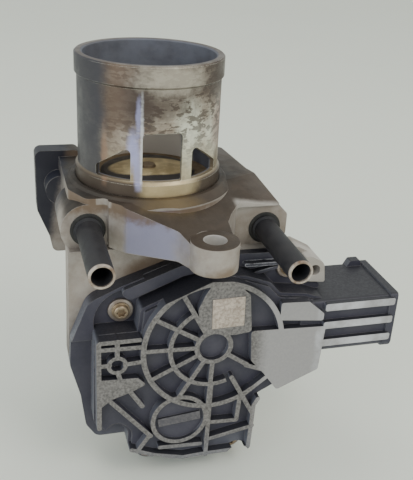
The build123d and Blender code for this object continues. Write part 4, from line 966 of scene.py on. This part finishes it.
# ------------------------------------------------------------------ sub-assemblies
@dataclass
class CoverScrews:
    """The cover's flanged six-lobe screws. Lengths are in mm."""

    spots: tuple[Pair, ...] = ((-17.4, -48.0), (56.0, -33.5), (-4.0, -122.8), (35.0, -123.6))
    seat: float = -35.2
    sides: int = 48
    flange_r: float = 3.9
    head_r: float = 3.15
    flange: float = 0.7
    head: float = 2.3
    chamfer_share: float = 0.25
    chamfer_width: float = 0.35
    drive_r: float = 2.0
    drive_depth: float = 1.6
    lobes: int = 6
    lobe_middle: float = 0.88
    lobe_swing: float = 0.13
    shank_r: float = 2.0
    length: float = 16.0

    def build(self, material: bpy.types.Material) -> None:
        """Models one screw and copies it to each lug."""
        x, z = self.spots[0]
        rise = self.head - self.flange
        screw = Bench.start("cover_screw_1", bpy.ops.mesh.primitive_cylinder_add, vertices=self.sides,
                            radius=self.flange_r * MM, depth=self.flange * MM, rotation=(math.pi / 2, 0, 0),
                            location=(x * MM, (self.seat - self.flange / 2) * MM, z * MM))
        Bench.pick(screw, UP)
        Bench.inset(self.flange_r - self.head_r)
        Bench.push(-rise * (1 - self.chamfer_share))
        Bench.inset(self.chamfer_width)
        bpy.ops.transform.translate(value=(0, -rise * MM * self.chamfer_share, 0))
        Bench.inset(self.head_r - self.chamfer_width - self.drive_r)
        self._lobes(screw)
        Bench.push(self.drive_depth)
        Bench.pick(screw, DOWN)
        Bench.inset(self.flange_r - self.shank_r)
        Bench.push(self.length)
        Bench.close(screw)
        dress(screw, material, Body.HOUSING)
        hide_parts("cover_screws")
        for number, (along, up) in enumerate(self.spots[1:], start=2):
            twin = Bench.copy(screw, f"cover_screw_{number}", Vector(((along - x) * MM, 0, (up - z) * MM)))
            dress(twin, material, Body.HOUSING)

    def _lobes(self, screw: bpy.types.Object) -> None:
        """Turns the picked face's round border into lobes."""
        mesh = bmesh.from_edit_mesh(screw.data)
        face = next(f for f in mesh.faces if f.select)
        centre = face.calc_center_median()
        for vert in face.verts:
            arm = vert.co - centre
            turn = math.atan2(arm.y, arm.x)
            vert.co = centre + arm * (self.lobe_middle + self.lobe_swing * math.cos(self.lobes * turn))
        bmesh.update_edit_mesh(screw.data)


@dataclass
class CoverLabel:
    """The square label by the hub. Lengths are in mm, the turn in degrees."""

    centre: Pair = (25.8, -46.1)
    side: float = 14.0
    turn: float = -1.5
    face: float = -48.0
    thick: float = 0.3
    sunk: float = 0.02
    border: float = 0.8
    rise: float = 0.1
    rounding: float = 0.08

    def build(self, material: bpy.types.Material) -> None:
        """Models the label as a thin plate whose middle stands a little higher than its border."""
        x, z = self.centre
        label = Bench.start("cover_label", bpy.ops.mesh.primitive_cube_add, size=1.0,
                            location=(x * MM, (self.face - self.thick / 2 + self.sunk) * MM, z * MM),
                            rotation=(0, math.radians(self.turn), 0),
                            scale=(self.side * MM, self.thick * MM, self.side * MM))
        Bench.pick(label, FRONT)
        Bench.inset(self.border)
        Bench.push(-self.rise)
        Bench.close(label, self.rounding)
        dress(label, material, Body.HOUSING)


@dataclass
class EarBoss:
    """The flat, drilled boss of the front bolt ear. Lengths are in mm."""

    centre: Pair = (16.3, -53.4)
    sides: int = 72
    radius: float = 9.75
    hole_r: float = 4.46
    top: float = -9.4
    bottom: float = -21.05
    rounding: float = 0.45
    rounding_steps: int = 3

    def build(self, material: bpy.types.Material) -> None:
        """Models the boss as a bevelled ring."""
        x, y = self.centre
        boss = Bench.start("ear_boss", bpy.ops.mesh.primitive_cylinder_add, vertices=self.sides,
                           radius=self.radius * MM, depth=(self.top - self.bottom) * MM,
                           location=(x * MM, y * MM, (self.top + self.bottom) / 2 * MM))
        Bench.pick(boss, UP, DOWN)
        Bench.inset(self.radius - self.hole_r)
        bpy.ops.mesh.bridge_edge_loops()
        Bench.close(boss, self.rounding, self.rounding_steps)
        dress(boss, material, Body.HOUSING)


NODE_FINISH = {
    "cast": ("valve_housing", "linkage_cap"),
    "tube": ("port_tube",),
    "seat": ("seat_ring", "valve_stem", "stem_yoke", "spring_retainer"),
    "disc": ("valve_disc",),
    "pipe": ("coolant_pipe_left", "coolant_pipe_right"),
    "plastic": ("actuator_cover",),
    "rubber": ("pipe_seals", "shaft_seal", "stem_seal", "cover_gasket"),
    "screw": ("cover_screws", "motor_screws"),
    "sleeve": ("cover_sleeves",),
    "bronze": ("stem_bush", "shaft_bush", "motor_bush_front", "motor_bush_rear"),
    "shaft": ("roller_pin", "roller", "return_spring", "output_shaft", "fork_lever", "shaft_circlip",
              "intermediate_pin", "motor_shaft"),
    "gear": ("output_gear", "intermediate_gear"),
    "brass": ("motor_pinion",),
    "motor": ("motor_can", "motor_end_cap", "rotor_core"),
    "ferrite": ("motor_magnets", "sensor_magnet"),
    "copper": ("motor_brushes", "commutator"),
    "board": ("sensor_board",),
    "tin": ("connector_terminals",),
}


@dataclass
class Finishes:
    """Every finish by its short name, built once."""

    effects: Effects

    def build(self) -> dict[str, bpy.types.Material]:
        """Builds them all, by short name."""
        steel, matt = SteelFinish, MattFinish
        made = {
            "cast": CastFinish(),
            "tube": TubeFinish(),
            "seat": steel("Browned Valve Steel", (0.30, 0.22, 0.13), (0.16, 0.11, 0.07), 0.45, (1, 1, 6),
                          metallic=0.5),
            "disc": DiscFinish(),
            "pipe": PipeFinish(),
            "plastic": MouldedFinish(),
            "rubber": matt("Seal Rubber", (0.012, 0.012, 0.013), (0.05, 0.048, 0.045), 0.62),
            "screw": steel("Plated Screw Steel", (0.44, 0.35, 0.25), (0.17, 0.115, 0.075), 0.36, (1, 1, 1)),
            "sleeve": steel("Sleeve Steel", (0.48, 0.42, 0.38), (0.26, 0.20, 0.17), 0.40, (1, 1, 1)),
            "bronze": steel("Bush Bronze", (0.48, 0.30, 0.13), (0.30, 0.17, 0.065), 0.42, (1, 1, 4)),
            "shaft": steel("Shaft Steel", (0.50, 0.49, 0.47), (0.32, 0.31, 0.29), 0.28, (1, 5, 1)),
            "gear": matt("Gear Plastic", (0.42, 0.37, 0.26), (0.30, 0.25, 0.17), 0.5),
            "brass": steel("Pinion Brass", (0.60, 0.42, 0.16), (0.40, 0.26, 0.09), 0.3, (1, 4, 1)),
            "motor": steel("Motor Steel", (0.44, 0.44, 0.43), (0.28, 0.28, 0.27), 0.34, (1, 6, 1)),
            "ferrite": matt("Ferrite", (0.03, 0.03, 0.032), (0.08, 0.08, 0.08), 0.6),
            "copper": steel("Copper", (0.60, 0.27, 0.13), (0.38, 0.16, 0.08), 0.34, (1, 6, 1)),
            "board": matt("Circuit Board", (0.015, 0.07, 0.03), (0.04, 0.11, 0.06), 0.45, scale=400.0),
            "tin": steel("Tinned Terminal", (0.62, 0.61, 0.58), (0.42, 0.41, 0.39), 0.3, (6, 1, 1)),
            "label": LabelFinish(),
            "floor": FloorFinish(),
        }
        return {name: finish.material(self.effects) for name, finish in made.items()}


def dress_nodes(nodes: dict[str, bpy.types.Object], materials: dict[str, bpy.types.Material]) -> None:
    """Gives every carried-over solid its finish.

    Args:
        nodes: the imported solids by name.
        materials: the finishes by name.
    """
    for finish, names in NODE_FINISH.items():
        for name in names:
            slots = nodes[name].data.materials
            if not len(slots):
                slots.append(materials[finish])
            for index in range(len(slots)):
                slots[index] = materials[finish]
            LOG.info("solid %s: %s", name, materials[finish].name)


# ------------------------------------------------------------------ studio
@dataclass(frozen=True)
class Lamp:
    """One soft, square light, in metres and watts."""

    name: str
    place: Triple
    power: float
    size: float
    tint: Colour

    def hang(self, aim: Triple) -> None:
        """Adds the light, which looks at a point."""
        bpy.ops.object.light_add(type="AREA", location=self.place)
        lamp = bpy.context.object
        lamp.name = self.name
        lamp.data.energy = self.power
        lamp.data.size = self.size
        lamp.data.color = self.tint
        lamp.rotation_mode = "QUATERNION"
        lamp.rotation_quaternion = (Vector(self.place) - Vector(aim)).to_track_quat("Z", "Y")


@dataclass
class Studio:
    """The pale floor, the soft lights and the camera."""

    azimuth: float = -16.54
    elevation: float = 24.97
    roll: float = 3.29
    eye: Triple = (-60.5, -300.0, 110.6)
    lens: float = 55.37
    sensor: float = 36.0
    near: float = 0.01
    floor_drop: float = 0.3
    floor_side: float = 12.0
    sky: Colour = (0.78, 0.81, 0.765)
    sky_strength: float = 1.1
    aim: Triple = (0.02, -0.02, -0.04)
    lamps: tuple[Lamp, ...] = (
        Lamp("key", (0.55, -0.75, 0.85), 4.5, 0.5, (1.0, 0.96, 0.88)),
        Lamp("fill", (-0.9, -0.7, 0.35), 4.0, 0.8, (0.86, 0.90, 1.0)),
        Lamp("top", (0.0, 0.35, 1.1), 2.0, 0.8, (1.0, 1.0, 1.0)))

    def floor(self, low: Vector, material: bpy.types.Material) -> None:
        """Lays the floor under the object's lowest corner."""
        floor = Bench.start("floor", bpy.ops.mesh.primitive_plane_add, size=self.floor_side,
                            location=(0, 0, low.z - self.floor_drop * MM))
        bpy.ops.mesh.select_all(action="SELECT")
        bpy.ops.mesh.subdivide(number_cuts=2)
        Bench.close(floor)
        floor.data.materials.append(material)
        floor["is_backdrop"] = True

    def lights(self) -> None:
        """Sets a pale sky and the soft lights."""
        world = bpy.data.worlds.new("Studio")
        bpy.context.scene.world = world
        world.use_nodes = True
        background = world.node_tree.nodes["Background"]
        background.inputs["Color"].default_value = (*self.sky, 1.0)
        background.inputs["Strength"].default_value = self.sky_strength
        for lamp in self.lamps:
            lamp.hang(self.aim)

    def camera(self) -> None:
        """Places the camera."""
        a, e, r = (math.radians(v) for v in (self.azimuth, self.elevation, self.roll))
        back = Vector((math.sin(a) * math.cos(e), -math.cos(a) * math.cos(e), math.sin(e)))
        right = Vector((math.cos(a), math.sin(a), 0))
        up = back.cross(right)
        across = right * math.cos(r) + up * math.sin(r)
        above = up * math.cos(r) - right * math.sin(r)
        bpy.ops.object.camera_add(location=tuple(c * MM for c in self.eye))
        camera = bpy.context.object
        camera.rotation_mode = "QUATERNION"
        camera.rotation_quaternion = Matrix((across, above, back)).transposed().to_quaternion()
        camera.data.lens = self.lens
        camera.data.sensor_width = self.sensor
        camera.data.clip_start = self.near
        camera.data.dof.use_dof = False
        bpy.context.scene.camera = camera


def main() -> None:
    """Loads the frame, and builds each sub-assembly."""
    logging.basicConfig(level=logging.INFO, format="%(name)s: %(message)s")
    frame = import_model()
    solids = [list(corner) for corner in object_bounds()]
    Bench.clear()
    materials = Finishes(Effects()).build()
    dress_nodes(frame["nodes"], materials)
    CoverScrews().build(materials["screw"])
    CoverLabel().build(materials["label"])
    EarBoss().build(materials["cast"])
    studio = Studio()
    studio.floor(Vector(solids[0]), materials["floor"])
    studio.lights()
    studio.camera()


if __name__ == "__main__":
    main()
